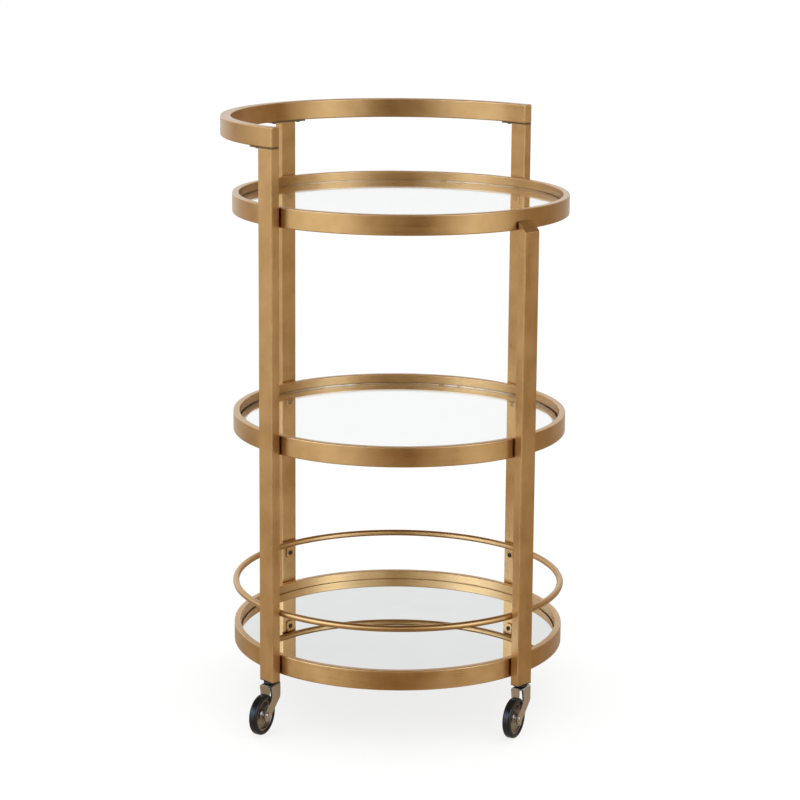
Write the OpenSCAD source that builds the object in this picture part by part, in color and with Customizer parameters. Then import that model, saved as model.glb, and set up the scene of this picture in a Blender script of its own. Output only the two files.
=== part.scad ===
// Round bar cart: two glass shelves over a mirror one, a half-round push handle and four swivel casters.
// The origin is on the floor, on the shelf rings' common axis. +Z is up. The short post is at +X, -Y.

/* [Overall] */
// Height of the handle's top above the floor
cart_h = 914.4; // [760:0.1:1100]
// Outer diameter of the shelf rings
ring_d = 516; // [420:1:620]

/* [Shelf rings] */
// Height of each ring's tube
ring_h = 30; // [22:0.5:36]
// Radial depth of each ring's tube
ring_t = 10; // [8:0.5:14]
// Wall of the ring tube
ring_wall = 1.2; // [1:0.1:2]
// Corner radius of the ring tube
ring_corner = 1.5; // [0.5:0.1:2.5]
// Depth of each panel's top below its ring's top
panel_drop = 14; // [8:0.5:16]
// Radial width of the ledge that carries a panel
ledge_w = 10; // [6:0.5:20]
// Thickness of the ledge
ledge_t = 2; // [1.5:0.1:3]

/* [Panels] */
// Thickness of the glass and mirror panels
panel_t = 5; // [4:0.5:6]
// Gap between a panel's edge and its ring
panel_gap = 1.5; // [0.5:0.1:3]
// Bevel on a panel's edges
panel_bevel = 0.6; // [0.2:0.1:1]
// Diameter of the clear bumper pads
pad_d = 8; // [5:0.5:9]
// Thickness of the clear bumper pads
pad_t = 1.5; // [1:0.1:3]
// Number of bumper pads under each panel
pad_count = 8; // [4:1:12]

/* [Posts] */
// Width of a post along the ring
post_w = 30; // [24:0.5:40]
// Depth of a post outwards from the ring
post_d = 15; // [13:0.5:20]
// Wall of the post tube
post_wall = 1.5; // [1:0.1:1.6]
// Corner radius of the post tube
post_corner = 1.5; // [0.5:0.1:2.5]
// Gap between the rings and the posts
post_gap = 2; // [1:0.1:2.5]
// Length of post below the bottom ring
post_tail = 10; // [10:0.5:30]
// Distance from the top ring's top down to the short post's inner top edge
short_post_drop = 17; // [12:0.5:20]
// Thickness of the short post's slanted cap
slant_cap_t = 1.5; // [1:0.1:2]

/* [Push handle] */
// Height of the handle tube
handle_h = 30; // [20:0.5:36]
// Radial width of the handle tube
handle_w = 16; // [13:0.5:22]
// Wall of the handle tube
handle_wall = 1.5; // [1:0.1:2]
// Corner radius of the handle tube
handle_corner = 1.8; // [0.5:0.1:2.5]
// Clear height between the top ring and the handle
handle_gap = 87.4; // [60:0.1:140]
// Thickness of the strap plates under the handle
strap_t = 2; // [1.5:0.1:3]
// Reach of a strap plate beyond its post
strap_reach = 20; // [16:0.5:40]
// Thickness of the end caps of the handle
end_cap_t = 1.5; // [1:0.1:3]

/* [Guard rail] */
// Diameter of the guard rail's round bar
guard_d = 10; // [7:0.5:14]
// Height of the guard rail's centre above the bottom ring's top
guard_rise = 65; // [50:0.1:110]
// Length of a guard tab below the guard rail
guard_tab_drop = 19; // [17:0.5:26]
// Distance from the guard rail's underside down to its screws
guard_screw_drop = 10.6; // [8:0.1:12]

/* [Tabs and screws] */
// Width of a tab
tab_w = 13; // [11:0.5:20]
// Thickness of a tab
tab_t = 3; // [2.6:0.1:4]
// Height of a tab's lap on its ring
tab_lap = 8; // [6:0.5:12]
// Length of a tab below its ring
tab_drop = 17; // [14.5:0.5:24]
// Distance from a ring's underside down to its screws
tab_screw_drop = 8.5; // [6:0.1:9]
// Radius of a tab's corners
tab_corner = 3; // [1:0.5:5]
// Diameter of the screw shanks
screw_d = 4; // [3:0.5:5]
// Diameter of the screw heads
screw_head_d = 7.6; // [6:0.1:9]
// Height of the screw heads
screw_head_h = 2.2; // [1.6:0.1:3]
// Length of a screw under its head
screw_l = 9; // [7:0.5:12]
// Width across flats of the screws' sockets
socket_w = 2.5; // [2:0.5:3]

/* [Casters] */
// Wheel diameter
wheel_d = 61; // [46:0.5:76]
// Tyre width
tyre_w = 13; // [9:0.5:18]
// Radial thickness of the tyre
tyre_t = 6.5; // [4:0.5:9]
// Horizontal distance from the swivel axis to the axle
trail = 24; // [16:0.5:32]
// Direction in which the wheels trail
heading = -116; // [-180:1:180]
// Gap between the wheel's top and the underside of the fork's top plate
fork_head_room = 9.5; // [6:0.5:20]
// Length of the fork's top plate
fork_l = 28; // [24:0.5:36]
// Thickness of the fork plate
fork_t = 2.5; // [1.5:0.1:3]
// Gap between the tyre and each fork leg
fork_side_gap = 1.2; // [0.6:0.1:3]
// Radius of the legs' round lower ends
fork_end_r = 9.5; // [8:0.5:12]
// Axle diameter
axle_d = 5; // [4:0.5:8]
// Diameter of the axle's rivet heads
axle_head_d = 10; // [9:0.5:14]
// Diameter of the caster stem
stem_d = 8; // [6:0.5:8]
// Length of stem inside the post
stem_l = 24; // [15:0.5:40]
// Gap between the post and the fork
swivel_gap = 4.5; // [3.5:0.1:8]
// Diameter of the swivel bearing
bearing_d = 19; // [14:0.5:22]

/* [Hidden] */
$fn = 72;
ring_fn = 360;
running = 0.05;
moving_gap = 0.3;
eps = 1;

front_left = -135;
front_right = -45;
back_left = 135;
back_right = 45;
POST_ANGLES = [front_left, front_right, back_left, back_right];

// Heights, from the floor up
axle_z = wheel_d / 2;
fork_top = wheel_d + fork_head_room + fork_t;
post_bottom = fork_top + swivel_gap;
bottom_ring_top = post_bottom + post_tail + ring_h;
handle_bottom = cart_h - handle_h;
top_ring_top = handle_bottom - handle_gap;
middle_ring_top = (top_ring_top + bottom_ring_top) / 2;
post_top = handle_bottom - strap_t;
short_post_top = top_ring_top - short_post_drop;
cap_rise = slant_cap_t * sqrt(2);
guard_z = bottom_ring_top + guard_rise;

// Radii, from the ring axis outwards
ring_r = ring_d / 2;
ring_inner = ring_r - ring_t;
panel_r = ring_inner - panel_gap;
ledge_inner = ring_inner - ledge_w;
pad_r = (ledge_inner + panel_r) / 2;
post_inner = ring_r + post_gap;
post_r = post_inner + post_d / 2;
post_outer = post_inner + post_d;
guard_r = post_inner - guard_d / 2;
tab_inner = post_inner - tab_t;

// Tabs and their screws, below a ring's underside
low_tab_gap = 0.5;
low_tab_drop = post_tail - low_tab_gap;
low_screw_drop = low_tab_drop / 2;
screw_clearance = 0.1;
socket_depth = 1.3;
SCREW_HEIGHTS = [
    top_ring_top - ring_h - tab_screw_drop,
    middle_ring_top - ring_h - tab_screw_drop,
    bottom_ring_top - ring_h - low_screw_drop,
    guard_z - guard_d / 2 - guard_screw_drop
];

// Angles along the handle
post_half_angle = atan(post_w / 2 / post_r);
handle_mid = back_left;
handle_half = 90 + post_half_angle;
end_cap_angle = end_cap_t / post_r * 180 / PI;
strap_angle = (post_w / 2 + strap_reach) / post_r * 180 / PI;
strap_screw_angle = (post_w / 2 + strap_reach / 2) / post_r * 180 / PI;
STRAP_SCREWS = [
    front_left + 360 - strap_screw_angle,
    back_left + strap_screw_angle,
    back_left - strap_screw_angle,
    back_right + strap_screw_angle
];

// Caster sizes
hub_r = axle_z - tyre_t;
hub_rim = 2.5;
hub_rim_half = tyre_w / 2 - 1.5;
hub_web_half = 1.4;
hub_boss_r = axle_d / 2 + 2.5;
fork_inner_w = tyre_w + 2 * fork_side_gap;
fork_w = fork_inner_w + 2 * fork_t;
fork_bend_r = fork_t + 1;
leg_straight = 20;
leg_waist = 4;
leg_shoulder = 0.3;
axle_head_h = 1.8;
rivet_d = 13;
rivet_h = 2;
bearing_lip = 1;
plug_h = stem_l + 4;
plug_fit = 0.1;
tyre_round = 4;

gold = "#B08A4C";
nickel = "#A9A39B";
black = "#1A1A1A";
clear = [0.85, 0.9, 0.9, 0.35];
mirror_grey = "#C9D0D0";

// ---- Outlines ----

// Rectangle with round corners, centred
module rounded(w, h, r) {
    square([w, h - 2 * r], center = true);
    square([w - 2 * r, h], center = true);
    for (sx = [-1, 1], sy = [-1, 1])
        translate([sx * (w / 2 - r), sy * (h / 2 - r)]) circle(r = r);
}

// Section of a rectangular tube, centred
module tube_section(w, h, r, wall) {
    difference() {
        rounded(w, h, r);
        square([w - 2 * wall, h - 2 * wall], center = true);
    }
}

// ---- Placing ----

// An arc between two angles, of a section drawn at its radius and height
module arc(from, to) {
    rotate([0, 0, from]) rotate_extrude(angle = to - from, $fn = ring_fn) children();
}

// A copy at each post, with +X pointing outwards
module at_posts() {
    for (a = POST_ANGLES) rotate([0, 0, a]) children();
}

// Extrudes an outline drawn as (along the ring, up) outwards from radius x
module outwards(x, t) {
    translate([x, 0, 0]) rotate([90, 0, 90]) linear_extrude(t) children();
}

// Extrudes an outline drawn as (outwards, up) over a width along the ring
module across(w) {
    translate([0, w / 2, 0]) rotate([90, 0, 0]) linear_extrude(w) children();
}

// A caster's own frame at a post: +X is the way the wheel trails
module at_caster(a) {
    translate([post_r * cos(a), post_r * sin(a), 0]) rotate([0, 0, heading]) children();
}

// A wheel's own frame: +Z is along the axle
module at_axle(a) {
    at_caster(a) translate([trail, 0, axle_z]) rotate([90, 0, 0]) children();
}

// ---- Screws ----

// Socket screw: the shank runs from the origin along +Z, the head is below the origin
module socket_screw() {
    cylinder(d = screw_d, h = screw_l);
    difference() {
        rotate_extrude() screw_head_section();
        translate([0, 0, -screw_head_h - eps])
            cylinder(d = socket_w / cos(30), h = socket_depth + eps, $fn = 6);
    }
}

// Domed head, drawn as (radius, height)
module screw_head_section() {
    edge = screw_head_h * 0.4;
    intersection() {
        translate([0, -screw_head_h]) square([screw_head_d / 2, screw_head_h]);
        union() {
            translate([0, -edge]) square([screw_head_d / 2, edge]);
            translate([0, -edge]) scale_dome(screw_head_d / 2, screw_head_h - edge);
        }
    }
}

// Shallow dome of radius r and height h below the X axis
module scale_dome(r, h) {
    ball = (r * r + h * h) / (2 * h);
    intersection() {
        translate([0, ball - h]) circle(r = ball);
        translate([0, -h]) square([r, h]);
    }
}

// A ring's four screws at height z
module ring_screws(z) {
    color(black) at_posts() translate([tab_inner, 0, z]) rotate([0, 90, 0]) socket_screw();
}

// ---- Posts ----

module post_tube(top) {
    difference() {
        translate([post_r, 0, post_bottom]) linear_extrude(top - post_bottom)
            tube_section(post_d, post_w, post_corner, post_wall);
        for (z = SCREW_HEIGHTS) translate([post_inner - eps, 0, z]) rotate([0, 90, 0])
            cylinder(r = screw_d / 2 + screw_clearance, h = post_wall + 2 * eps);
    }
}

module tall_post(a) {
    color(gold) rotate([0, 0, a]) post_tube(post_top);
}

// Section of the space above the slanted line that starts at height z on the post's inner face
module above_slant(z) {
    polygon([
        [post_inner - eps, z + eps], [post_outer + eps, z - post_d - eps],
        [post_outer + eps, z + post_d], [post_inner - eps, z + post_d]
    ]);
}

module post_front_right() {
    color(gold) rotate([0, 0, front_right]) difference() {
        post_tube(short_post_top);
        across(2 * post_w) above_slant(short_post_top - cap_rise);
    }
}

module short_post_cap() {
    color(gold) rotate([0, 0, front_right]) difference() {
        intersection() {
            translate([post_r, 0, short_post_top - 2 * post_d]) linear_extrude(3 * post_d)
                rounded(post_d, post_w, post_corner);
            across(2 * post_w) above_slant(short_post_top - cap_rise);
        }
        across(2 * post_w) above_slant(short_post_top);
    }
}

// ---- Push handle ----

module handle_section() {
    translate([post_r, handle_bottom + handle_h / 2]) children();
}

module strap_screw_holes() {
    for (a = STRAP_SCREWS) rotate([0, 0, a]) translate([post_r, 0, post_top - eps])
        cylinder(r = screw_d / 2 + screw_clearance, h = strap_t + handle_wall + 2 * eps);
}

module handle_rail() {
    half = handle_half - end_cap_angle;
    color(gold) difference() {
        arc(handle_mid - half, handle_mid + half)
            handle_section() tube_section(handle_w, handle_h, handle_corner, handle_wall);
        strap_screw_holes();
    }
}

module handle_end_caps() {
    color(gold) for (s = [-1, 1]) {
        outer = handle_mid + s * handle_half;
        inner = outer - s * end_cap_angle;
        arc(min(outer, inner), max(outer, inner))
            handle_section() rounded(handle_w, handle_h, handle_corner);
    }
}

// A strap plate between two angles on the handle's arc
module strap(from, to) {
    color(black) difference() {
        arc(from, to) translate([post_r, post_top + strap_t / 2])
            square([post_d, strap_t], center = true);
        strap_screw_holes();
    }
}

module handle_screws() {
    color(black) for (a = STRAP_SCREWS)
        rotate([0, 0, a]) translate([post_r, 0, post_top]) socket_screw();
}

// ---- Shelves ----

module shelf_ring(top) {
    color(gold) rotate_extrude($fn = ring_fn) translate([ring_r - ring_t / 2, top - ring_h / 2])
        tube_section(ring_t, ring_h, ring_corner, ring_wall);
}

module shelf_ledge(top) {
    ledge_top = top - panel_drop - panel_t - pad_t;
    color(gold) rotate_extrude($fn = ring_fn) translate([ledge_inner, ledge_top - ledge_t])
        square([ledge_w, ledge_t]);
}

module shelf_panel(top, tint) {
    b = panel_bevel;
    color(tint) translate([0, 0, top - panel_drop - panel_t]) rotate_extrude($fn = ring_fn) polygon([
        [0, 0], [panel_r - b, 0], [panel_r, b],
        [panel_r, panel_t - b], [panel_r - b, panel_t], [0, panel_t]
    ]);
}

module shelf_pads(top) {
    color(clear) for (i = [0 : pad_count - 1]) rotate([0, 0, (i + 0.5) * 360 / pad_count])
        translate([pad_r, 0, top - panel_drop - panel_t - pad_t]) cylinder(d = pad_d, h = pad_t);
}

// Tabs that fill the gap between ring and posts and hang below the ring by drop
module ring_tabs(top, drop) {
    tab_h = tab_lap + drop;
    color(gold) difference() {
        at_posts() outwards(tab_inner, tab_t) translate([0, top - ring_h - drop + tab_h / 2])
            rounded(tab_w, tab_h, tab_corner);
        translate([0, 0, top - ring_h]) cylinder(r = ring_r, h = ring_h, $fn = ring_fn);
        tab_screw_holes();
    }
}

module tab_screw_holes() {
    for (z = SCREW_HEIGHTS) at_posts() translate([tab_inner - eps, 0, z]) rotate([0, 90, 0])
        cylinder(r = screw_d / 2 + screw_clearance, h = tab_t + 2 * eps);
}

// ---- Guard rail ----

module guard_torus() {
    rotate_extrude($fn = ring_fn) translate([guard_r, guard_z]) circle(d = guard_d);
}

module guard_rail() {
    color(gold) guard_torus();
}

module guard_tabs() {
    tab_h = guard_d / 2 + guard_tab_drop;
    color(gold) difference() {
        at_posts() outwards(tab_inner, tab_t) translate([0, guard_z - tab_h / 2])
            rounded(tab_w, tab_h, tab_corner);
        guard_torus();
        tab_screw_holes();
    }
}

// ---- Casters: fixed parts ----

module caster_sockets() {
    plug_w = post_w - 2 * post_wall - 2 * plug_fit;
    plug_d = post_d - 2 * post_wall - 2 * plug_fit;
    color(black) at_posts() translate([post_r, 0, 0]) difference() {
        union() {
            translate([-plug_d / 2, -plug_w / 2, post_bottom - eps / 2])
                cube([plug_d, plug_w, plug_h]);
            translate([0, 0, post_bottom - bearing_lip]) linear_extrude(bearing_lip)
                rounded(post_d, post_w, post_corner);
        }
        translate([0, 0, post_bottom - bearing_lip - eps])
            cylinder(d = stem_d, h = stem_l + bearing_lip + eps);
        translate([-post_d, 0, SCREW_HEIGHTS[2]]) rotate([0, 90, 0])
            cylinder(r = screw_d / 2 + screw_clearance, h = post_d);
    }
}

module caster_stems() {
    plate_under = fork_top - fork_t;
    rivet_top = plate_under - moving_gap;
    color(nickel) at_posts() translate([post_r, 0, 0]) difference() {
        union() {
            translate([0, 0, rivet_top - rivet_h]) {
                cylinder(d = stem_d, h = post_bottom + stem_l - rivet_top + rivet_h);
                cylinder(d = rivet_d, h = rivet_h);
            }
        }
        translate([-post_r, 0, SCREW_HEIGHTS[2]]) rotate([0, 90, 0])
            cylinder(r = screw_d / 2 + screw_clearance, h = post_r);
    }
}

module swivel_bearings() {
    base = fork_top + moving_gap;
    color(black) at_posts() translate([post_r, 0, base]) difference() {
        cylinder(d = bearing_d, h = post_bottom - bearing_lip - base);
        translate([0, 0, -eps]) cylinder(d = stem_d, h = swivel_gap + 2 * eps);
    }
}

// ---- Casters: moving parts ----

// Side view of the fork without its round ends, drawn as (along the trail, up)
module fork_side() {
    knee = fork_top - leg_straight;
    sweep = atan2(knee - axle_z, trail);
    neck = fork_end_r - leg_shoulder;
    polygon([
        [-fork_l / 2, fork_top], [fork_l / 2, fork_top], [fork_l / 2 - leg_waist, knee],
        [trail + neck * sin(sweep), axle_z + neck * cos(sweep)],
        [trail - neck * sin(sweep), axle_z - neck * cos(sweep)],
        [-fork_l / 2, knee - leg_waist]
    ]);
}

// Front view of the fork, drawn as (across, up): an upside-down U with bent corners
module fork_front() {
    difference() {
        translate([0, fork_top / 2 - fork_bend_r])
            rounded(fork_w, fork_top + 2 * fork_bend_r, fork_bend_r);
        translate([0, (fork_top - fork_t) / 2 - fork_bend_r])
            rounded(fork_inner_w, fork_top - fork_t + 2 * fork_bend_r, fork_bend_r - fork_t);
    }
}

module caster_fork(a) {
    color(nickel) at_caster(a) difference() {
        union() {
            intersection() {
                across(2 * fork_w) fork_side();
                outwards(-fork_l, 3 * fork_l) fork_front();
            }
            for (s = [-1, 1]) translate([trail, s * (fork_inner_w + fork_t) / 2, axle_z])
                rotate([90, 0, 0]) cylinder(r = fork_end_r, h = fork_t, center = true);
        }
        translate([0, 0, fork_top - fork_t - eps])
            cylinder(r = stem_d / 2 + running, h = fork_t + 2 * eps);
        translate([trail, fork_w, axle_z]) rotate([90, 0, 0]) cylinder(d = axle_d, h = 2 * fork_w);
    }
}

module caster_axle(a) {
    color(nickel) at_axle(a) {
        cylinder(d = axle_d, h = fork_w, center = true);
        for (s = [0, 1]) mirror([0, 0, s]) translate([0, 0, fork_w / 2]) mirror([0, 0, 1])
            rotate_extrude() scale_dome(axle_head_d / 2, axle_head_h);
    }
}

module wheel_hub(a) {
    boss_half = fork_inner_w / 2 - moving_gap;
    bore = axle_d / 2 + running;
    step = 1.5;
    color(nickel) at_axle(a) rotate_extrude() polygon([
        [bore, -boss_half], [hub_boss_r, -boss_half], [hub_boss_r + step, -hub_web_half - step],
        [hub_boss_r + 2 * step, -hub_web_half], [hub_r - hub_rim - step, -hub_web_half],
        [hub_r - hub_rim, -hub_rim_half], [hub_r, -hub_rim_half],
        [hub_r, hub_rim_half], [hub_r - hub_rim, hub_rim_half],
        [hub_r - hub_rim - step, hub_web_half], [hub_boss_r + 2 * step, hub_web_half],
        [hub_boss_r + step, hub_web_half + step], [hub_boss_r, boss_half], [bore, boss_half]
    ]);
}

module tyre(a) {
    color(black) at_axle(a) rotate_extrude() intersection() {
        translate([axle_z - tyre_t, 0]) rounded(2 * tyre_t, tyre_w, tyre_round);
        translate([hub_r, -tyre_w]) square([tyre_t, 2 * tyre_w]);
    }
}

tall_post(front_left);  // post_front_left
post_front_right();
tall_post(back_left);  // post_back_left
tall_post(back_right);  // post_back_right
short_post_cap();
handle_rail();
handle_end_caps();
strap(front_left + 360 - strap_angle, front_left + 360 + post_half_angle);  // strap_front_left
strap(back_left - strap_angle, back_left + strap_angle);  // strap_back_left
strap(back_right - post_half_angle, back_right + strap_angle);  // strap_back_right
handle_screws();
shelf_ring(top_ring_top);  // top_ring
shelf_ring(middle_ring_top);  // middle_ring
shelf_ring(bottom_ring_top);  // bottom_ring
shelf_ledge(top_ring_top);  // top_ledge
shelf_ledge(middle_ring_top);  // middle_ledge
shelf_ledge(bottom_ring_top);  // bottom_ledge
shelf_panel(top_ring_top, clear);  // top_glass
shelf_panel(middle_ring_top, clear);  // middle_glass
shelf_panel(bottom_ring_top, mirror_grey);  // bottom_mirror
shelf_pads(top_ring_top);  // top_pads
shelf_pads(middle_ring_top);  // middle_pads
shelf_pads(bottom_ring_top);  // bottom_pads
ring_tabs(top_ring_top, tab_drop);  // top_tabs
ring_tabs(middle_ring_top, tab_drop);  // middle_tabs
ring_tabs(bottom_ring_top, low_tab_drop);  // bottom_tabs
ring_screws(SCREW_HEIGHTS[0]);  // top_screws
ring_screws(SCREW_HEIGHTS[1]);  // middle_screws
ring_screws(SCREW_HEIGHTS[2]);  // bottom_screws
guard_rail();
guard_tabs();
ring_screws(SCREW_HEIGHTS[3]);  // guard_screws
caster_sockets();
caster_stems();
swivel_bearings();
caster_fork(front_left);  // fork_front_left
caster_fork(front_right);  // fork_front_right
caster_fork(back_left);  // fork_back_left
caster_fork(back_right);  // fork_back_right
caster_axle(front_left);  // axle_front_left
caster_axle(front_right);  // axle_front_right
caster_axle(back_left);  // axle_back_left
caster_axle(back_right);  // axle_back_right
wheel_hub(front_left);  // hub_front_left
wheel_hub(front_right);  // hub_front_right
wheel_hub(back_left);  // hub_back_left
wheel_hub(back_right);  // hub_back_right
tyre(front_left);  // tyre_front_left
tyre(front_right);  // tyre_front_right
tyre(back_left);  // tyre_back_left
tyre(back_right);  // tyre_back_right
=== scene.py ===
"""A round bar cart on casters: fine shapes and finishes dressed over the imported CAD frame, in a plain pale studio."""

import logging
import math
from collections.abc import Callable, Iterable, Mapping, Sequence
from dataclasses import dataclass, field
from enum import Enum
from typing import Any

import bmesh
import bpy
from mathutils import Matrix, Vector


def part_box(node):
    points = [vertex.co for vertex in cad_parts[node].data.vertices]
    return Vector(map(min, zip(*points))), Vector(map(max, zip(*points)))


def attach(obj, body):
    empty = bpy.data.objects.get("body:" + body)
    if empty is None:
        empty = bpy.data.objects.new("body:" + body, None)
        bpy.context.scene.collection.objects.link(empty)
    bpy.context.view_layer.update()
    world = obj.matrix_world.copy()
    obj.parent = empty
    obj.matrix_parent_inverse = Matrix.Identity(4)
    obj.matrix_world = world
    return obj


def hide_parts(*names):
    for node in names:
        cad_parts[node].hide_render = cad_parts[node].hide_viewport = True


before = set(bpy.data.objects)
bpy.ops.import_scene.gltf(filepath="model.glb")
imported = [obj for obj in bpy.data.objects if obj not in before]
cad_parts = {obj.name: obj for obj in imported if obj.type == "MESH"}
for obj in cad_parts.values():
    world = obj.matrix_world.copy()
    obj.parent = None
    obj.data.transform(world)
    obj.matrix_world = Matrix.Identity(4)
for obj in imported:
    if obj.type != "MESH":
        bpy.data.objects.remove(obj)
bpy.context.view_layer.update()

LOG = logging.getLogger("bar_cart")
MM = 0.001
EDGE = "edge"  # the attribute that says how exposed a vertex is
AROUND = 256  # steps round the cart
TURNED_AROUND = 96  # steps round a turned piece
CORNER_STEPS = 5
HOLD = 0.3 * MM  # how far from a rounding a flat's holding points lie
END_HOLD = 0.06  # how far in an end's holding loop lies, as a share of the way to its centre
SAME_PLACE = 0.001 * MM
TEXTURE_DEPTH = 0.05 * MM

Colour = tuple[float, float, float]
Socket = bpy.types.NodeSocket


class Corner(Enum):
    """Where a post and its caster stand, as an angle round the cart in degrees."""

    FRONT_LEFT = -135.0
    FRONT_RIGHT = -45.0
    BACK_LEFT = 135.0
    BACK_RIGHT = 45.0

    @property
    def label(self) -> str:
        """The corner's name as the CAD nodes and bodies end."""
        return self.name.lower()

    @property
    def turn(self) -> Matrix:
        """The turn that points +X outwards at this corner."""
        return Matrix.Rotation(math.radians(self.value), 4, "Z")


class Grain(Enum):
    """The way in which a brushed surface was rubbed."""

    ROUND_THE_CART = 1.0
    UPRIGHT = 0.0


# ---- Node trees ----


def socket_named(sockets: Iterable[Socket], key: str) -> Socket:
    """Finds a socket by its identifier, or else by its name.

    Args:
        sockets: A node's inputs or outputs.
        key: The identifier or the name.

    Returns:
        The first socket that matches.
    """
    every = list(sockets)
    for match in ([s for s in every if s.identifier == key], [s for s in every if s.name == key]):
        if match:
            return match[0]
    raise KeyError(key)


@dataclass
class Bench:
    """A node tree being wired up."""

    tree: bpy.types.NodeTree

    def feed(self, target: Socket, value: Any) -> None:
        """Gives an input its constant or its link.

        Args:
            target: The input.
            value: A constant or the output that feeds it.
        """
        if isinstance(value, Socket):
            self.tree.links.new(value, target)
        else:
            target.default_value = value

    def add(self, kind: str, sockets: Mapping[str, Any] | None = None, **settings: Any) -> bpy.types.Node:
        """Adds a node, sets it up and feeds its inputs.

        Args:
            kind: The node's type.
            sockets: For each input, a constant or the output that feeds it.
            settings: The node's own properties.

        Returns:
            The new node.
        """
        node = self.tree.nodes.new(kind)
        for name, value in settings.items():
            setattr(node, name, value)
        for key, value in (sockets or {}).items():
            self.feed(socket_named(node.inputs, key), value)
        return node

    def maths(self, operation: str, *values: float | Socket) -> Socket:
        """Adds a Math node.

        Args:
            operation: The Math node's operation.
            values: Its operands, constants or outputs.

        Returns:
            The result's socket.
        """
        node = self.add("ShaderNodeMath", operation=operation)
        for target, value in zip(node.inputs, values):
            self.feed(target, value)
        return node.outputs[0]

    def blend(self, factor: float | Socket, a: Any, b: Any) -> Socket:
        """Mixes two colours.

        Args:
            factor: The share of the second colour.
            a: The first colour or the output that gives it.
            b: The second colour or the output that gives it.

        Returns:
            The mixed colour's socket.
        """
        colours = {"A_Color": a, "B_Color": b}
        full = {k: v if isinstance(v, Socket) else (*v, 1.0) for k, v in colours.items()}
        node = self.add("ShaderNodeMix", {"Factor_Float": factor, **full}, data_type="RGBA")
        return socket_named(node.outputs, "Result_Color")

    def noise(self, place: Socket, scale: float, detail: float = 3.0) -> Socket:
        """Adds a noise texture.

        Args:
            place: The point that it is read at.
            scale: How many patches there are in a metre.
            detail: How many finer layers it has.

        Returns:
            The noise's value, from 0 to 1.
        """
        return self.add("ShaderNodeTexNoise", {"Vector": place, "Scale": scale, "Detail": detail}).outputs["Fac"]

    def axes(self, vector: Socket) -> bpy.types.NodeOutputs:
        """A vector's X, Y and Z."""
        return self.add("ShaderNodeSeparateXYZ", {"Vector": vector}).outputs

    def edge(self) -> Socket:
        """How exposed the shaded point is."""
        return self.add("ShaderNodeAttribute", attribute_name=EDGE).outputs["Fac"]

    def place(self) -> Socket:
        """The shaded point in the cart's own frame."""
        return self.add("ShaderNodeTexCoord").outputs["Object"]

    def effect(self, tree: bpy.types.NodeTree, **sockets: Any) -> bpy.types.NodeOutputs:
        """Places a shared effect.

        Args:
            tree: The effect's group.
            sockets: What feeds its inputs.

        Returns:
            The effect's outputs.
        """
        return self.add("ShaderNodeGroup", sockets, node_tree=tree).outputs

    def spread(
        self, value: Socket, low: float, high: float, start: float = 0.0, end: float = 1.0
    ) -> Socket:
        """Maps a value smoothly to another range.

        Args:
            value: What is mapped.
            low: The result at the start.
            high: The result at the end.
            start: The value's own start.
            end: The value's own end.

        Returns:
            The mapped value's socket.
        """
        node = self.add(
            "ShaderNodeMapRange",
            {"Value": value, "From Min": start, "From Max": end, "To Min": low, "To Max": high},
            interpolation_type="SMOOTHSTEP",
        )
        return node.outputs["Result"]


def new_group(name: str, kind: str, inputs: Mapping[str, tuple[str, Any]], outputs: Mapping[str, str]) -> Bench:
    """Makes a node group with named sockets.

    Args:
        name: The group's name.
        kind: The tree's type.
        inputs: For each input, its socket type and its default.
        outputs: For each output, its socket type.

    Returns:
        The bench of the new tree, without its group nodes.
    """
    tree = bpy.data.node_groups.new(name, kind)
    for label, (socket_type, default) in inputs.items():
        socket = tree.interface.new_socket(name=label, in_out="INPUT", socket_type=socket_type)
        if default is not None:
            socket.default_value = default
    for label, socket_type in outputs.items():
        tree.interface.new_socket(name=label, in_out="OUTPUT", socket_type=socket_type)
    return Bench(tree)


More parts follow.
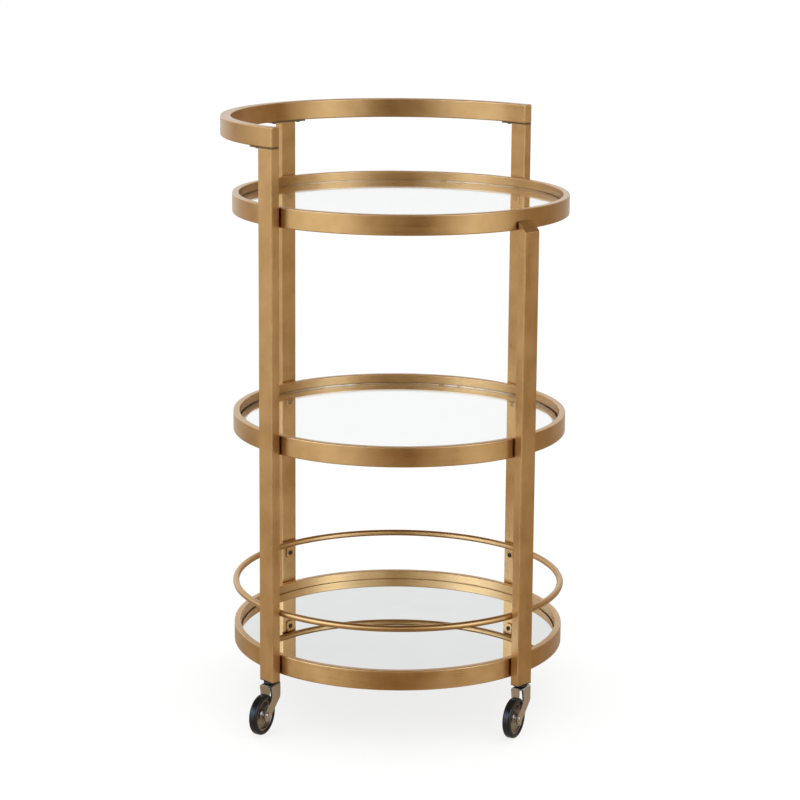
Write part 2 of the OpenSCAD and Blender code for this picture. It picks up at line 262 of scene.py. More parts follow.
class SharedEffects:
    """The shader groups that more than one finish uses, each built once."""

    def __init__(self) -> None:
        """Builds every group."""
        self.grain = self._grain()
        self.wear = self._wear()
        self.dust = self._dust()

    def _grain(self) -> bpy.types.NodeTree:
        """Brushed streaks, either round the cart or upright, and soft patches.

        Returns:
            The group.
        """
        bench = new_group(
            "Brushed grain",
            "ShaderNodeTree",
            {
                "Place": ("NodeSocketVector", None),
                "Along": ("NodeSocketFloat", 6.0),
                "Across": ("NodeSocketFloat", 1500.0),
                "Round": ("NodeSocketFloat", 1.0),
            },
            {"Streaks": "NodeSocketFloat", "Patches": "NodeSocketFloat"},
        )
        given = bench.add("NodeGroupInput").outputs
        axes = bench.axes(given["Place"])
        squares = [bench.maths("POWER", axes[axis], 2.0) for axis in "XY"]
        flat = bench.maths("SQRT", bench.maths("ADD", *squares))
        level_scale, rise_scale = (
            socket_named(
                bench.add(
                    "ShaderNodeMix",
                    {"Factor_Float": given["Round"], "A_Float": given[upright], "B_Float": given[level]},
                ).outputs,
                "Result_Float",
            )
            for upright, level in (("Across", "Along"), ("Along", "Across"))
        )
        stretched = bench.add(
            "ShaderNodeCombineXYZ",
            {
                "X": bench.maths("MULTIPLY", axes["X"], level_scale),
                "Y": bench.maths("MULTIPLY", axes["Y"], level_scale),
                "Z": bench.maths("MULTIPLY", axes["Z"], rise_scale),
            },
        )
        reach = bench.maths("MULTIPLY", bench.maths("MULTIPLY", flat, given["Across"]), given["Round"])
        streaks = bench.add(
            "ShaderNodeTexNoise",
            {"Vector": stretched.outputs["Vector"], "W": reach, "Scale": 1.0, "Detail": 4.0, "Roughness": 0.65},
            noise_dimensions="4D",
        )
        patches = bench.noise(given["Place"], 22.0, 4.0)
        bench.add("NodeGroupOutput", {"Streaks": streaks.outputs["Fac"], "Patches": patches})
        return bench.tree

    def _wear(self) -> bpy.types.NodeTree:
        """Rubbed edges: the piece's own edge attribute, broken up by noise.

        Returns:
            The group.
        """
        bench = new_group(
            "Edge wear",
            "ShaderNodeTree",
            {
                "Edge": ("NodeSocketFloat", 0.0),
                "Place": ("NodeSocketVector", None),
                "Amount": ("NodeSocketFloat", 0.5),
            },
            {"Mask": "NodeSocketFloat"},
        )
        given = bench.add("NodeGroupInput").outputs
        broken = bench.spread(bench.noise(given["Place"], 160.0, 4.0), 0.35, 1.0, 0.35, 0.65)
        mask = bench.maths("MULTIPLY", bench.maths("MULTIPLY", given["Edge"], broken), given["Amount"])
        bench.add("NodeGroupOutput", {"Mask": mask})
        return bench.tree

    def _dust(self) -> bpy.types.NodeTree:
        """A thin uneven film, thicker on faces that look up.

        Returns:
            The group.
        """
        bench = new_group(
            "Thin film",
            "ShaderNodeTree",
            {
                "Place": ("NodeSocketVector", None),
                "Normal": ("NodeSocketVector", None),
                "Amount": ("NodeSocketFloat", 0.1),
            },
            {"Mask": "NodeSocketFloat"},
        )
        given = bench.add("NodeGroupInput").outputs
        up = bench.axes(given["Normal"])["Z"]
        facing = bench.spread(up, 0.3, 1.0, -0.2, 1.0)
        cloud = bench.spread(bench.noise(given["Place"], 14.0, 6.0), 0.2, 1.0, 0.3, 0.75)
        mask = bench.maths("MULTIPLY", bench.maths("MULTIPLY", facing, cloud), given["Amount"])
        bench.add("NodeGroupOutput", {"Mask": mask})
        return bench.tree


# ---- Finishes ----


@dataclass(frozen=True)
class Finish:
    """A surface finish. Its material is built when it is first asked for."""

    name: str
    slot: str

    def build(self, bench: Bench, effects: SharedEffects) -> Socket:
        """Wires the finish up, and gives the shader that covers the surface."""
        raise NotImplementedError

    def material(self, effects: SharedEffects) -> bpy.types.Material:
        """Gives the finish's material, and builds it the first time.

        Args:
            effects: The shared shader groups.

        Returns:
            The material.
        """
        found = bpy.data.materials.get(self.name)
        if found is not None:
            return found
        made = bpy.data.materials.new(self.name)
        made.use_nodes = True
        made.node_tree.nodes.clear()
        bench = Bench(made.node_tree)
        bench.add("ShaderNodeOutputMaterial", {"Surface": self.build(bench, effects)})
        return made


@dataclass(frozen=True)
class BrushedMetal(Finish):
    """A metal rubbed one way, with fine streaks, uneven toning and rubbed edges."""

    grain: Grain
    tone: Colour
    deep_tone: Colour
    edge_tone: Colour
    roughness: float
    roughness_swing: float
    anisotropy: float
    relief: float
    along: float = 5.0
    across: float = 1400.0
    wear: float = 0.5
    lacquer: float = 0.0

    def build(self, bench: Bench, effects: SharedEffects) -> Socket:
        """Wires the metal up.

        Args:
            bench: The material's bench.
            effects: The shared shader groups.

        Returns:
            The shader's socket.
        """
        place = bench.place()
        brushed = bench.effect(
            effects.grain, Place=place, Along=self.along, Across=self.across, Round=self.grain.value
        )
        edge = bench.edge()
        worn = bench.effect(effects.wear, Edge=edge, Place=place, Amount=self.wear)["Mask"]
        toned = bench.blend(bench.spread(brushed["Patches"], 0.0, 1.0, 0.3, 0.7), self.deep_tone, self.tone)
        streaked = bench.blend(bench.spread(brushed["Streaks"], 0.0, 0.35, 0.62, 0.3), toned, self.deep_tone)
        colour = bench.blend(worn, streaked, self.edge_tone)
        half = self.roughness_swing / 2
        rough = bench.spread(brushed["Streaks"], self.roughness - half, self.roughness + half, 0.3, 0.7)
        rough = bench.maths("ADD", rough, bench.spread(brushed["Patches"], -half / 2, half / 2, 0.3, 0.7))
        bump = bench.add(
            "ShaderNodeBump",
            {"Height": brushed["Streaks"], "Strength": self.relief, "Distance": TEXTURE_DEPTH},
        )
        axes = bench.axes(place)
        if self.grain is Grain.ROUND_THE_CART:
            rubbed = {"X": bench.maths("MULTIPLY", axes["Y"], -1.0), "Y": axes["X"], "Z": 0.02}
        else:
            rubbed = {"X": 0.05, "Y": 0.03, "Z": 1.0}
        way = bench.add("ShaderNodeCombineXYZ", rubbed).outputs["Vector"]
        shader = bench.add(
            "ShaderNodeBsdfPrincipled",
            {
                "Base Color": colour,
                "Metallic": 1.0,
                "Roughness": rough,
                "Normal": bump.outputs["Normal"],
                "Anisotropic": self.anisotropy,
                "Anisotropic Rotation": 0.25,
                "Tangent": way,
                "Coat Weight": self.lacquer,
                "Coat Roughness": 0.3,
            },
        )
        return shader.outputs["BSDF"]


@dataclass(frozen=True)
class ClearGlass(Finish):
    """Float glass with a faint green body; its ground rim is darkened nearly to black, partly the dark green of a glass
    edge and partly painted shade of the gap where the panel meets its ring.
    """

    tint: Colour
    deep_tint: Colour
    rim_tint: Colour

    def build(self, bench: Bench, effects: SharedEffects) -> Socket:
        """Wires the glass up, with a clear way through for the lamps' light.

        Args:
            bench: The material's bench.
            effects: The shared shader groups. Not used.

        Returns:
            The shader's socket.
        """
        place = bench.place()
        rim = bench.edge()
        # The rim takes a near-black colour: the green of a glass edge plus painted shade of the gap at the ring.
        tinted = bench.blend(rim, bench.blend(bench.noise(place, 3.0), self.tint, self.deep_tint), self.rim_tint)
        glass = bench.add(
            "ShaderNodeBsdfPrincipled",
            {"Base Color": tinted, "Roughness": 0.0, "IOR": 1.5, "Transmission Weight": 1.0},
        )
        clear = bench.add("ShaderNodeBsdfTransparent", {"Color": (0.93, 0.96, 0.95, 1.0)})
        path = bench.add("ShaderNodeLightPath").outputs
        passing = bench.maths("MAXIMUM", path["Is Shadow Ray"], path["Is Diffuse Ray"])
        mixed = bench.add("ShaderNodeMixShader", {"Fac": passing})
        bench.feed(mixed.inputs[1], glass.outputs["BSDF"])
        bench.feed(mixed.inputs[2], clear.outputs["BSDF"])
        return mixed.outputs["Shader"]


@dataclass(frozen=True)
class SilveredGlass(Finish):
    """A mirror with the faintest uneven film on its face, and paint on its back."""

    silver: Colour
    dull_silver: Colour
    back_paint: Colour
    film: float

    def build(self, bench: Bench, effects: SharedEffects) -> Socket:
        """Wires the mirror up.

        Args:
            bench: The material's bench.
            effects: The shared shader groups.

        Returns:
            The shader's socket.
        """
        place = bench.place()
        normal = bench.add("ShaderNodeNewGeometry").outputs["Normal"]
        film = bench.effect(effects.dust, Place=place, Normal=normal, Amount=self.film)["Mask"]
        painted = bench.maths("LESS_THAN", bench.axes(normal)["Z"], -0.5)
        polish = bench.spread(film, 0.0, 0.06)
        shader = bench.add(
            "ShaderNodeBsdfPrincipled",
            {
                "Base Color": bench.blend(painted, bench.blend(film, self.silver, self.dull_silver), self.back_paint),
                "Metallic": 1.0,
                "Roughness": bench.maths("MAXIMUM", polish, bench.maths("MULTIPLY", painted, 0.65)),
            },
        )
        return shader.outputs["BSDF"]


@dataclass(frozen=True)
class Moulded(Finish):
    """Rubber, plastic or a dark oxide coat: one colour that mottles a little, with a fine texture."""

    tone: Colour
    light_tone: Colour
    roughness: float
    speckle: float
    relief: float
    film: float = 0.1
    shine: float = 0.5
    transmission: float = 0.0

    def build(self, bench: Bench, effects: SharedEffects) -> Socket:
        """Wires the moulded surface up.

        Args:
            bench: The material's bench.
            effects: The shared shader groups.

        Returns:
            The shader's socket.
        """
        place = bench.place()
        normal = bench.add("ShaderNodeNewGeometry").outputs["Normal"]
        film = bench.effect(effects.dust, Place=place, Normal=normal, Amount=self.film)["Mask"]
        edge = bench.edge()
        worn = bench.effect(effects.wear, Edge=edge, Place=place, Amount=0.3)["Mask"]
        fine = bench.noise(place, self.speckle)
        mottled = bench.blend(bench.spread(fine, 0.0, 0.5, 0.35, 0.65), self.tone, self.light_tone)
        coloured = bench.blend(bench.maths("MAXIMUM", film, worn), mottled, self.light_tone)
        bump = bench.add("ShaderNodeBump", {"Height": fine, "Strength": self.relief, "Distance": TEXTURE_DEPTH})
        rough = bench.spread(fine, self.roughness * 0.85, self.roughness * 1.15, 0.3, 0.7)
        shader = bench.add(
            "ShaderNodeBsdfPrincipled",
            {
                "Base Color": coloured,
                "Specular IOR Level": self.shine,
                "Roughness": bench.maths("ADD", rough, bench.maths("MULTIPLY", film, 0.3)),
                "Transmission Weight": self.transmission,
                "Normal": bump.outputs["Normal"],
            },
        )
        return shader.outputs["BSDF"]


BRASS = {
    "tone": (0.62, 0.378, 0.147),
    "deep_tone": (0.52, 0.3, 0.105),
    "edge_tone": (0.8, 0.56, 0.29),
    "roughness": 0.34,
    "roughness_swing": 0.12,
    "anisotropy": 0.45,
    "relief": 0.16,
    "lacquer": 0.45,
}
ROUND_BRASS = BrushedMetal("brushed brass round the cart", "antique_brass", Grain.ROUND_THE_CART, **BRASS)
# The handle is the same brass as the rings; its deeper tone is painted shade that darkens it to how it looks under the
# studio light.
HANDLE_BRASS_IN_PAINTED_SHADE = BrushedMetal(
    "brushed brass of the handle",
    "antique_brass",
    Grain.ROUND_THE_CART,
    **{**BRASS, "tone": (0.6, 0.362, 0.138), "deep_tone": (0.51, 0.295, 0.102)},
)
UPRIGHT_BRASS = BrushedMetal("brushed brass upright", "antique_brass", Grain.UPRIGHT, **BRASS)
NICKEL = BrushedMetal(
    "satin nickel", "nickel", Grain.UPRIGHT, tone=(0.62, 0.58, 0.54), deep_tone=(0.5, 0.46, 0.42),
    edge_tone=(0.8, 0.78, 0.75), roughness=0.17, roughness_swing=0.08,
    anisotropy=0.0, relief=0.05, along=180.0, across=420.0, wear=0.6,
)
HUB_METAL = BrushedMetal(
    "hub metal", "nickel", Grain.UPRIGHT, tone=(0.46, 0.42, 0.37), deep_tone=(0.36, 0.32, 0.28),
    edge_tone=(0.65, 0.62, 0.58), roughness=0.32, roughness_swing=0.1,
    anisotropy=0.0, relief=0.06, along=260.0, across=420.0, wear=0.6,
)
# The rim colour is the green of a ground glass edge, darkened as painted shade of the gap at the ring.
GLASS = ClearGlass(
    "clear float glass", "clear_glass", tint=(0.965, 0.985, 0.978), deep_tint=(0.95, 0.975, 0.967),
    rim_tint=(0.08, 0.1, 0.085),
)
MIRROR = SilveredGlass(
    "silvered glass", "mirror", silver=(0.8, 0.82, 0.815), dull_silver=(0.7, 0.72, 0.71),
    back_paint=(0.3, 0.31, 0.31), film=0.25,
)
BLACK_STEEL = Moulded(
    "black oxide steel", "black_steel", (0.008, 0.007, 0.006), (0.03, 0.027, 0.024),
    roughness=0.45, speckle=900.0, relief=0.1, film=0.03, shine=0.35,
)
# The straps are brass plates; their dark brown is painted shade, since they sit in the shadow under the handle.
STRAP_PAINTED_SHADE = Moulded(
    "browned steel", "black_steel", (0.1, 0.062, 0.03), (0.16, 0.1, 0.048),
    roughness=0.4, speckle=900.0, relief=0.08, film=0.03, shine=0.4,
)
BLACK_PLASTIC = Moulded(
    "black plastic", "black_plastic", (0.01, 0.01, 0.011), (0.035, 0.035, 0.036),
    roughness=0.45, speckle=1200.0, relief=0.2,
)
TYRE_RUBBER = Moulded(
    "tyre rubber", "tyre_rubber", (0.005, 0.005, 0.006), (0.02, 0.02, 0.022),
    roughness=0.2, speckle=700.0, relief=0.06, film=0.02, shine=0.32,
)
CLEAR_PAD = Moulded(
    "clear bumper", "clear_pads", (0.85, 0.87, 0.86), (0.92, 0.93, 0.93),
    roughness=0.2, speckle=500.0, relief=0.05, transmission=0.9,
)


# ---- Outlines ----


@dataclass(frozen=True)
class Outline:
    """A section drawn as (across, up) in metres, with how exposed each point is, from 0 on a flat to 1 on an edge."""

    points: tuple[tuple[float, float], ...]
    exposed: tuple[float, ...]
    closed: bool = True


def rounded_outline(
    corners: Sequence[tuple[float, float, float]], closed: bool = True, steps: int = CORNER_STEPS, hold: float = HOLD
) -> Outline:
    """Rounds a polygon's corners, and puts a point on each flat close to every rounding, which keeps the flat flat.

    Args:
        corners: Each corner's place and the radius that rounds it, 0 for a sharp one.
        closed: Whether the last corner joins the first.
        steps: The number of steps in a rounding.
        hold: The distance of the holding points from a rounding.

    Returns:
        The outline.
    """
    points: list[tuple[float, float]] = []
    exposed: list[float] = []
    count = len(corners)
    for i, (x, y, radius) in enumerate(corners):
        at = Vector((x, y))
        if radius <= 0 or (not closed and i in (0, count - 1)):
            points.append((x, y))
            exposed.append(0.0)
            continue
        back = (Vector(corners[i - 1][:2]) - at).normalized()
        ahead = (Vector(corners[(i + 1) % count][:2]) - at).normalized()
        half = back.angle(ahead) / 2
        reach = radius / math.tan(half)
        centre = at + (back + ahead).normalized() * (radius / math.sin(half))
        start = at + back * reach - centre
        sweep = math.copysign(math.pi - 2 * half, back.y * ahead.x - back.x * ahead.y)
        points.append(tuple(at + back * (reach + hold)))
        exposed.append(0.0)
        for k in range(steps + 1):
            angle = sweep * k / steps
            turned = Vector((
                start.x * math.cos(angle) - start.y * math.sin(angle),
                start.x * math.sin(angle) + start.y * math.cos(angle),
            ))
            points.append(tuple(centre + turned))
            exposed.append(math.sin(math.pi * k / steps))
        points.append(tuple(at + ahead * (reach + hold)))
        exposed.append(0.0)
    return Outline(tuple(points), tuple(exposed), closed)


def rectangle(width: float, height: float, corner: float, hold: float = HOLD) -> Outline:
    """A rectangle with round corners, centred.

    Args:
        width: Its size across.
        height: Its size upwards.
        corner: The radius of its corners.
        hold: The distance of the holding points from the corners.

    Returns:
        The outline, anticlockwise.
    """
    w, h = width / 2, height / 2
    return rounded_outline([(-w, -h, corner), (w, -h, corner), (w, h, corner), (-w, h, corner)], hold=hold)


def circle(radius: float, steps: int = 24) -> Outline:
    """A circle.

    Args:
        radius: Its radius.
        steps: The number of points.

    Returns:
        The outline.
    """
    angles = [2 * math.pi * k / steps for k in range(steps)]
    return Outline(tuple((radius * math.cos(a), radius * math.sin(a)) for a in angles), (0.0,) * steps)


# ---- Meshes ----


def mesh_object(name: str, mesh: bpy.types.Mesh) -> bpy.types.Object:
    """Puts a mesh in the scene as an object at the origin.

    Args:
        name: The object's name.
        mesh: The mesh.

    Returns:
        The object.
    """
    made = bpy.data.objects.new(name, mesh)
    bpy.context.scene.collection.objects.link(made)
    return made


def write_edge(mesh: bpy.types.Mesh, exposed: Sequence[float]) -> None:
    """Keeps how exposed each vertex is with the mesh."""
    mesh.attributes.new(EDGE, "FLOAT", "POINT").data.foreach_set("value", list(exposed))


def closed_mesh(
    name: str, points: Sequence[Vector], exposed: Sequence[float], faces: Iterable[Sequence[int]]
) -> bpy.types.Object:
    """Makes a closed, smooth mesh whose faces look outwards.

    Args:
        name: The object's name.
        points: The vertices.
        exposed: How exposed each vertex is.
        faces: The faces, as vertex numbers.

    Returns:
        The object.
    """
    mesh = bpy.data.meshes.new(name)
    mesh.from_pydata([tuple(p) for p in points], [], [tuple(f) for f in faces])
    write_edge(mesh, exposed)
    work = bmesh.new()
    work.from_mesh(mesh)
    bmesh.ops.remove_doubles(work, verts=work.verts, dist=SAME_PLACE)
    bmesh.ops.recalc_face_normals(work, faces=work.faces)
    for face in work.faces:
        face.smooth = True
    work.to_mesh(mesh)
    work.free()
    return mesh_object(name, mesh)


def lofted(name: str, loops: Sequence[Sequence[Vector]], exposed: Sequence[Sequence[float]]) -> bpy.types.Object:
    """Skins loops of equal length, and closes both ends.

    Args:
        name: The object's name.
        loops: The loops, from one end to the other.
        exposed: How exposed each point of each loop is.

    Returns:
        The object.
    """
    size = len(loops[0])
    faces = [
        (row * size + k, row * size + (k + 1) % size, (row + 1) * size + (k + 1) % size, (row + 1) * size + k)
        for row in range(len(loops) - 1)
        for k in range(size)
    ]
    points = [p for loop in loops for p in loop]
    edges = [e for row in exposed for e in row]
    for first in (0, (len(loops) - 1) * size):
        rim, inner = points[first:first + size], len(points)
        centre = sum(rim, Vector()) / size
        points += [p.lerp(centre, END_HOLD) for p in rim] + [centre]
        edges += [0.0] * (size + 1)
        for k in range(size):
            after = (k + 1) % size
            faces += [(first + k, first + after, inner + after, inner + k), (inner + k, inner + after, inner + size)]
    return closed_mesh(name, points, edges, faces)


def turned(name: str, outline: Outline, place: Matrix, around: int = TURNED_AROUND) -> bpy.types.Object:
    """Turns an outline, drawn as (radius, height), about the Z axis of its place.

    Args:
        name: The object's name.
        outline: The section. An open one starts and ends on the axis.
        place: Where the axis stands.
        around: The number of steps round the axis.

    Returns:
        The object.
    """
    points: list[Vector] = []
    exposed: list[float] = []
    rows: list[list[int]] = []
    for (radius, height), edge in zip(outline.points, outline.exposed):
        first = len(points)
        if radius < SAME_PLACE:
            points.append(place @ Vector((0, 0, height)))
            exposed.append(edge)
            rows.append([first] * around)
            continue
        for k in range(around):
            angle = 2 * math.pi * k / around
            points.append(place @ Vector((radius * math.cos(angle), radius * math.sin(angle), height)))
            exposed.append(edge)
        rows.append(list(range(first, first + around)))
    pairs = list(zip(rows, rows[1:]))
    if outline.closed:
        pairs.append((rows[-1], rows[0]))
    faces = []
    for low, high in pairs:
        for k in range(around):
            ring = (low[k], low[(k + 1) % around], high[(k + 1) % around], high[k])
            faces.append(tuple(dict.fromkeys(ring)))
    return closed_mesh(name, points, exposed, faces)


@dataclass(frozen=True)
class Bar:
    """A straight or bent bar of rectangular section with rounded corners and rounded end edges."""

    width: float
    height: float
    corner: float
    end_round: float

    def section(self, inset: float) -> Outline:
        """The section, drawn in from all its sides.

        Args:
            inset: How far it is drawn in.

        Returns:
            The section.
        """
        width, height = self.width - 2 * inset, self.height - 2 * inset
        least = min(width, height)
        corner = max(self.corner - inset, min(self.corner, 0.15 * least))
        return rectangle(width, height, corner, hold=min(HOLD, 0.2 * least))

    def stations(self, length: float, spans: int) -> list[tuple[float, float, float]]:
        """Where the loops lie along the bar.

        Args:
            length: The bar's length.
            spans: The number of steps between the rounded ends.

        Returns:
            For each loop, its distance from the start, how far it is drawn in, and how exposed it is.
        """
        r = self.end_round
        start = [(0.0, r + HOLD, 0.0)]
        for k in range(CORNER_STEPS + 1):
            angle = math.pi / 2 * k / CORNER_STEPS
            start.append((r * (1 - math.cos(angle)), r * (1 - math.sin(angle)), math.sin(2 * angle)))
        start.append((r + HOLD, 0.0, 0.0))
        inner = [(r + HOLD + (length - 2 * (r + HOLD)) * k / spans, 0.0, 0.0) for k in range(1, spans)]
        end = [(length - at, inset, edge) for at, inset, edge in reversed(start)]
        return start + inner + end

    def build(
        self, name: str, length: float, spans: int, carry: Callable[[float, float, float], Vector]
    ) -> bpy.types.Object:
        """Makes the bar.

        Args:
            name: The object's name.
            length: The bar's length.
            spans: The number of steps along it.
            carry: Takes a point given as (along, across, up) to its place.

        Returns:
            The object.
        """
        loops, exposed = [], []
        for at, inset, edge in self.stations(length, spans):
            section = self.section(inset)
            loops.append([carry(at, x, y) for x, y in section.points])
            exposed.append([max(edge, e) for e in section.exposed])
        return lofted(name, loops, exposed)


# ---- Geometry Nodes ----


class Trees:
    """The geometry trees, each built once."""

    def __init__(self) -> None:
        """Builds both trees."""
        self.hoop = self._hoop()
        self.set_out = self._set_out()

    @staticmethod
    def _finish(bench: Bench, shape: Socket, material: Socket) -> None:
        """Ends a tree: smooth, made real, and given its material.

        Args:
            bench: The tree's bench.
            shape: The geometry so far.
            material: The input that gives the material.
        """
        smooth = bench.add("GeometryNodeSetShadeSmooth", {"Geometry": shape}).outputs["Geometry"]
        real = bench.add("GeometryNodeRealizeInstances", {"Geometry": smooth}).outputs["Geometry"]
        painted = bench.add("GeometryNodeSetMaterial", {"Geometry": real, "Material": material}).outputs["Geometry"]
        bench.add("NodeGroupOutput", {"Geometry": painted})

    def _hoop(self) -> bpy.types.NodeTree:
        """A hoop round the cart's axis: a section carried round a circle.

        Returns:
            The tree.
        """
        bench = new_group(
            "Hoop",
            "GeometryNodeTree",
            {
                "Section": ("NodeSocketGeometry", None),
                "Radius": ("NodeSocketFloat", 0.25),
                "Height": ("NodeSocketFloat", 0.0),
                "Steps": ("NodeSocketInt", AROUND),
                "Material": ("NodeSocketMaterial", None),
            },
            {"Geometry": "NodeSocketGeometry"},
        )
        given = bench.add("NodeGroupInput").outputs
        path = bench.add("GeometryNodeCurvePrimitiveCircle", {"Resolution": given["Steps"], "Radius": given["Radius"]})
        upright = bench.add("GeometryNodeSetCurveNormal", {"Curve": path.outputs["Curve"]}, mode="Z_UP")
        section = bench.add("GeometryNodeMeshToCurve", {"Mesh": given["Section"]})
        swept = bench.add(
            "GeometryNodeCurveToMesh",
            {"Curve": upright.outputs["Curve"], "Profile Curve": section.outputs["Curve"]},
        )
        lift = bench.add("ShaderNodeCombineXYZ", {"Z": given["Height"]}).outputs["Vector"]
        placed = bench.add("GeometryNodeTransform", {"Geometry": swept.outputs["Mesh"], "Translation": lift})
        self._finish(bench, placed.outputs["Geometry"], given["Material"])
        return bench.tree

    def _set_out(self) -> bpy.types.NodeTree:
        """Copies of a piece, one on each given point, turned to face away from the cart's axis.

        Returns:
            The tree.
        """
        bench = new_group(
            "Set out",
            "GeometryNodeTree",
            {
                "Points": ("NodeSocketGeometry", None),
                "Piece": ("NodeSocketObject", None),
                "Material": ("NodeSocketMaterial", None),
            },
            {"Geometry": "NodeSocketGeometry"},
        )
        given = bench.add("NodeGroupInput").outputs
        piece = bench.add("GeometryNodeObjectInfo", {"Object": given["Piece"]}).outputs["Geometry"]
        here = bench.add("GeometryNodeInputPosition").outputs["Position"]
        axes = bench.axes(here)
        bearing = bench.maths("ARCTAN2", axes["Y"], axes["X"])
        outwards = bench.add("ShaderNodeCombineXYZ", {"Z": bearing}).outputs["Vector"]
        copies = bench.add(
            "GeometryNodeInstanceOnPoints",
            {"Points": given["Points"], "Instance": piece, "Rotation": outwards},
        )
        self._finish(bench, copies.outputs["Instances"], given["Material"])
        return bench.tree


def grown(name: str, seed: bpy.types.Mesh, tree: bpy.types.NodeTree, inputs: Mapping[str, Any]) -> bpy.types.Object:
    """Runs a geometry tree on a seed mesh, and keeps the result as a plain mesh.

    Args:
        name: The finished object's name.
        seed: The mesh that the tree starts from.
        tree: The tree.
        inputs: The tree's inputs, by name.

    Returns:
        The object, with no modifier.
    """
    worker = mesh_object(name + "_seed", seed)
    modifier = worker.modifiers.new("tree", "NODES")
    modifier.node_group = tree
    for item in tree.interface.items_tree:
        if item.item_type == "SOCKET" and item.in_out == "INPUT" and item.name in inputs:
            modifier[item.identifier] = inputs[item.name]
    made = evaluated_copy(name, worker)
    bpy.data.objects.remove(worker)
    work = bmesh.new()
    work.from_mesh(made.data)
    bmesh.ops.recalc_face_normals(work, faces=work.faces)
    work.to_mesh(made.data)
    work.free()
    return made


def evaluated_copy(name: str, source: bpy.types.Object) -> bpy.types.Object:
    """A new object with the plain mesh that another one's modifiers give.

    Args:
        name: The new object's name.
        source: The object with the modifiers.

    Returns:
        The new object.
    """
    bpy.context.view_layer.update()
    graph = bpy.context.evaluated_depsgraph_get()
    seen = source.evaluated_get(graph)
    mesh = bpy.data.meshes.new_from_object(seen, preserve_all_data_layers=True, depsgraph=graph)
    mesh.name = name
    return mesh_object(name, mesh)


def section_mesh(outline: Outline) -> bpy.types.Mesh:
    """An outline as a closed chain of edges, for a tree to carry along a path.

    Args:
        outline: The outline.

    Returns:
        The chain.
    """
    count = len(outline.points)
    mesh = bpy.data.meshes.new("section")
    mesh.from_pydata([(x, y, 0.0) for x, y in outline.points], [(k, (k + 1) % count) for k in range(count)], [])
    write_edge(mesh, outline.exposed)
    return mesh


def point_mesh(points: Sequence[Vector]) -> bpy.types.Mesh:
    """Loose points, for a tree to set pieces out on.

    Args:
        points: Where they lie.

    Returns:
        The mesh.
    """
    mesh = bpy.data.meshes.new("points")
    mesh.from_pydata([tuple(p) for p in points], [], [])
    return mesh


def polar(radius: float, degrees: float, height: float) -> Vector:
    """A point round the cart's axis."""
    angle = math.radians(degrees)
    return Vector((radius * math.cos(angle), radius * math.sin(angle), height))


# ---- The shop: what every class dresses its pieces with ----


@dataclass
class Shop:
    """The shared trees and effects, and what hands a finished piece over."""

    effects: SharedEffects = field(default_factory=SharedEffects)
    trees: Trees = field(default_factory=Trees)

    def hand_over(self, piece: bpy.types.Object, body: str, finish: Finish, *stands_for: str) -> None:
        """Dresses a finished piece, joins it to its body and hides the CAD nodes that it stands for.

        Args:
            piece: The piece.
            body: The body that it moves with.
            finish: Its finish.
            stands_for: The CAD nodes that it replaces.
        """
        piece.data.materials.clear()
        piece.data.materials.append(finish.material(self.effects))
        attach(piece, body)
        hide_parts(*stands_for)
        LOG.info("%s: %d faces, for %s", piece.name, len(piece.data.polygons), ", ".join(stands_for))

    def hoop(self, name: str, section: Outline, depth: float, finish: Finish, node: str) -> None:
        """Makes a hoop of the frame in the place of a CAD hoop.

        Args:
            name: The finished object's name.
            section: The hoop's section, centred.
            depth: The section's size across.
            finish: Its finish.
            node: The CAD node that it replaces.
        """
        low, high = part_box(node)
        inputs = {
            "Radius": high.x - depth / 2,
            "Height": (low.z + high.z) / 2,
            "Steps": AROUND,
            "Material": finish.material(self.effects),
        }
        self.hand_over(grown(name, section_mesh(section), self.trees.hoop, inputs), "frame", finish, node)

    def set_out(
        self, name: str, pattern: bpy.types.Object, points: Sequence[Vector], finish: Finish, node: str
    ) -> None:
        """Puts a copy of a pattern on each point of the frame, and clears the pattern away.

        Args:
            name: The finished object's name.
            pattern: The pattern, with its outer side along +X.
            points: Where the copies go.
            finish: Their finish.
            node: The CAD node that they replace.
        """
        inputs = {"Piece": pattern, "Material": finish.material(self.effects)}
        copies = grown(name, point_mesh(points), self.trees.set_out, inputs)
        bpy.data.objects.remove(pattern)
        self.hand_over(copies, "frame", finish, node)

    def dress_node(self, node: str, finish: Finish) -> None:
        """Gives a CAD node that stays a better finish.

        Args:
            node: The node's name.
            finish: Its finish.
        """
        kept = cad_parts[node]
        for place in kept.material_slots:
            place.material = finish.material(self.effects)
        LOG.info("%s: kept, in %s", node, finish.name)


# ---- Sub-assemblies ----


@dataclass
class SubAssembly:
    """A group of pieces that are made together."""

    shop: Shop

    def build(self) -> None:
        """Makes the group's pieces and hands them over."""
        raise NotImplementedError


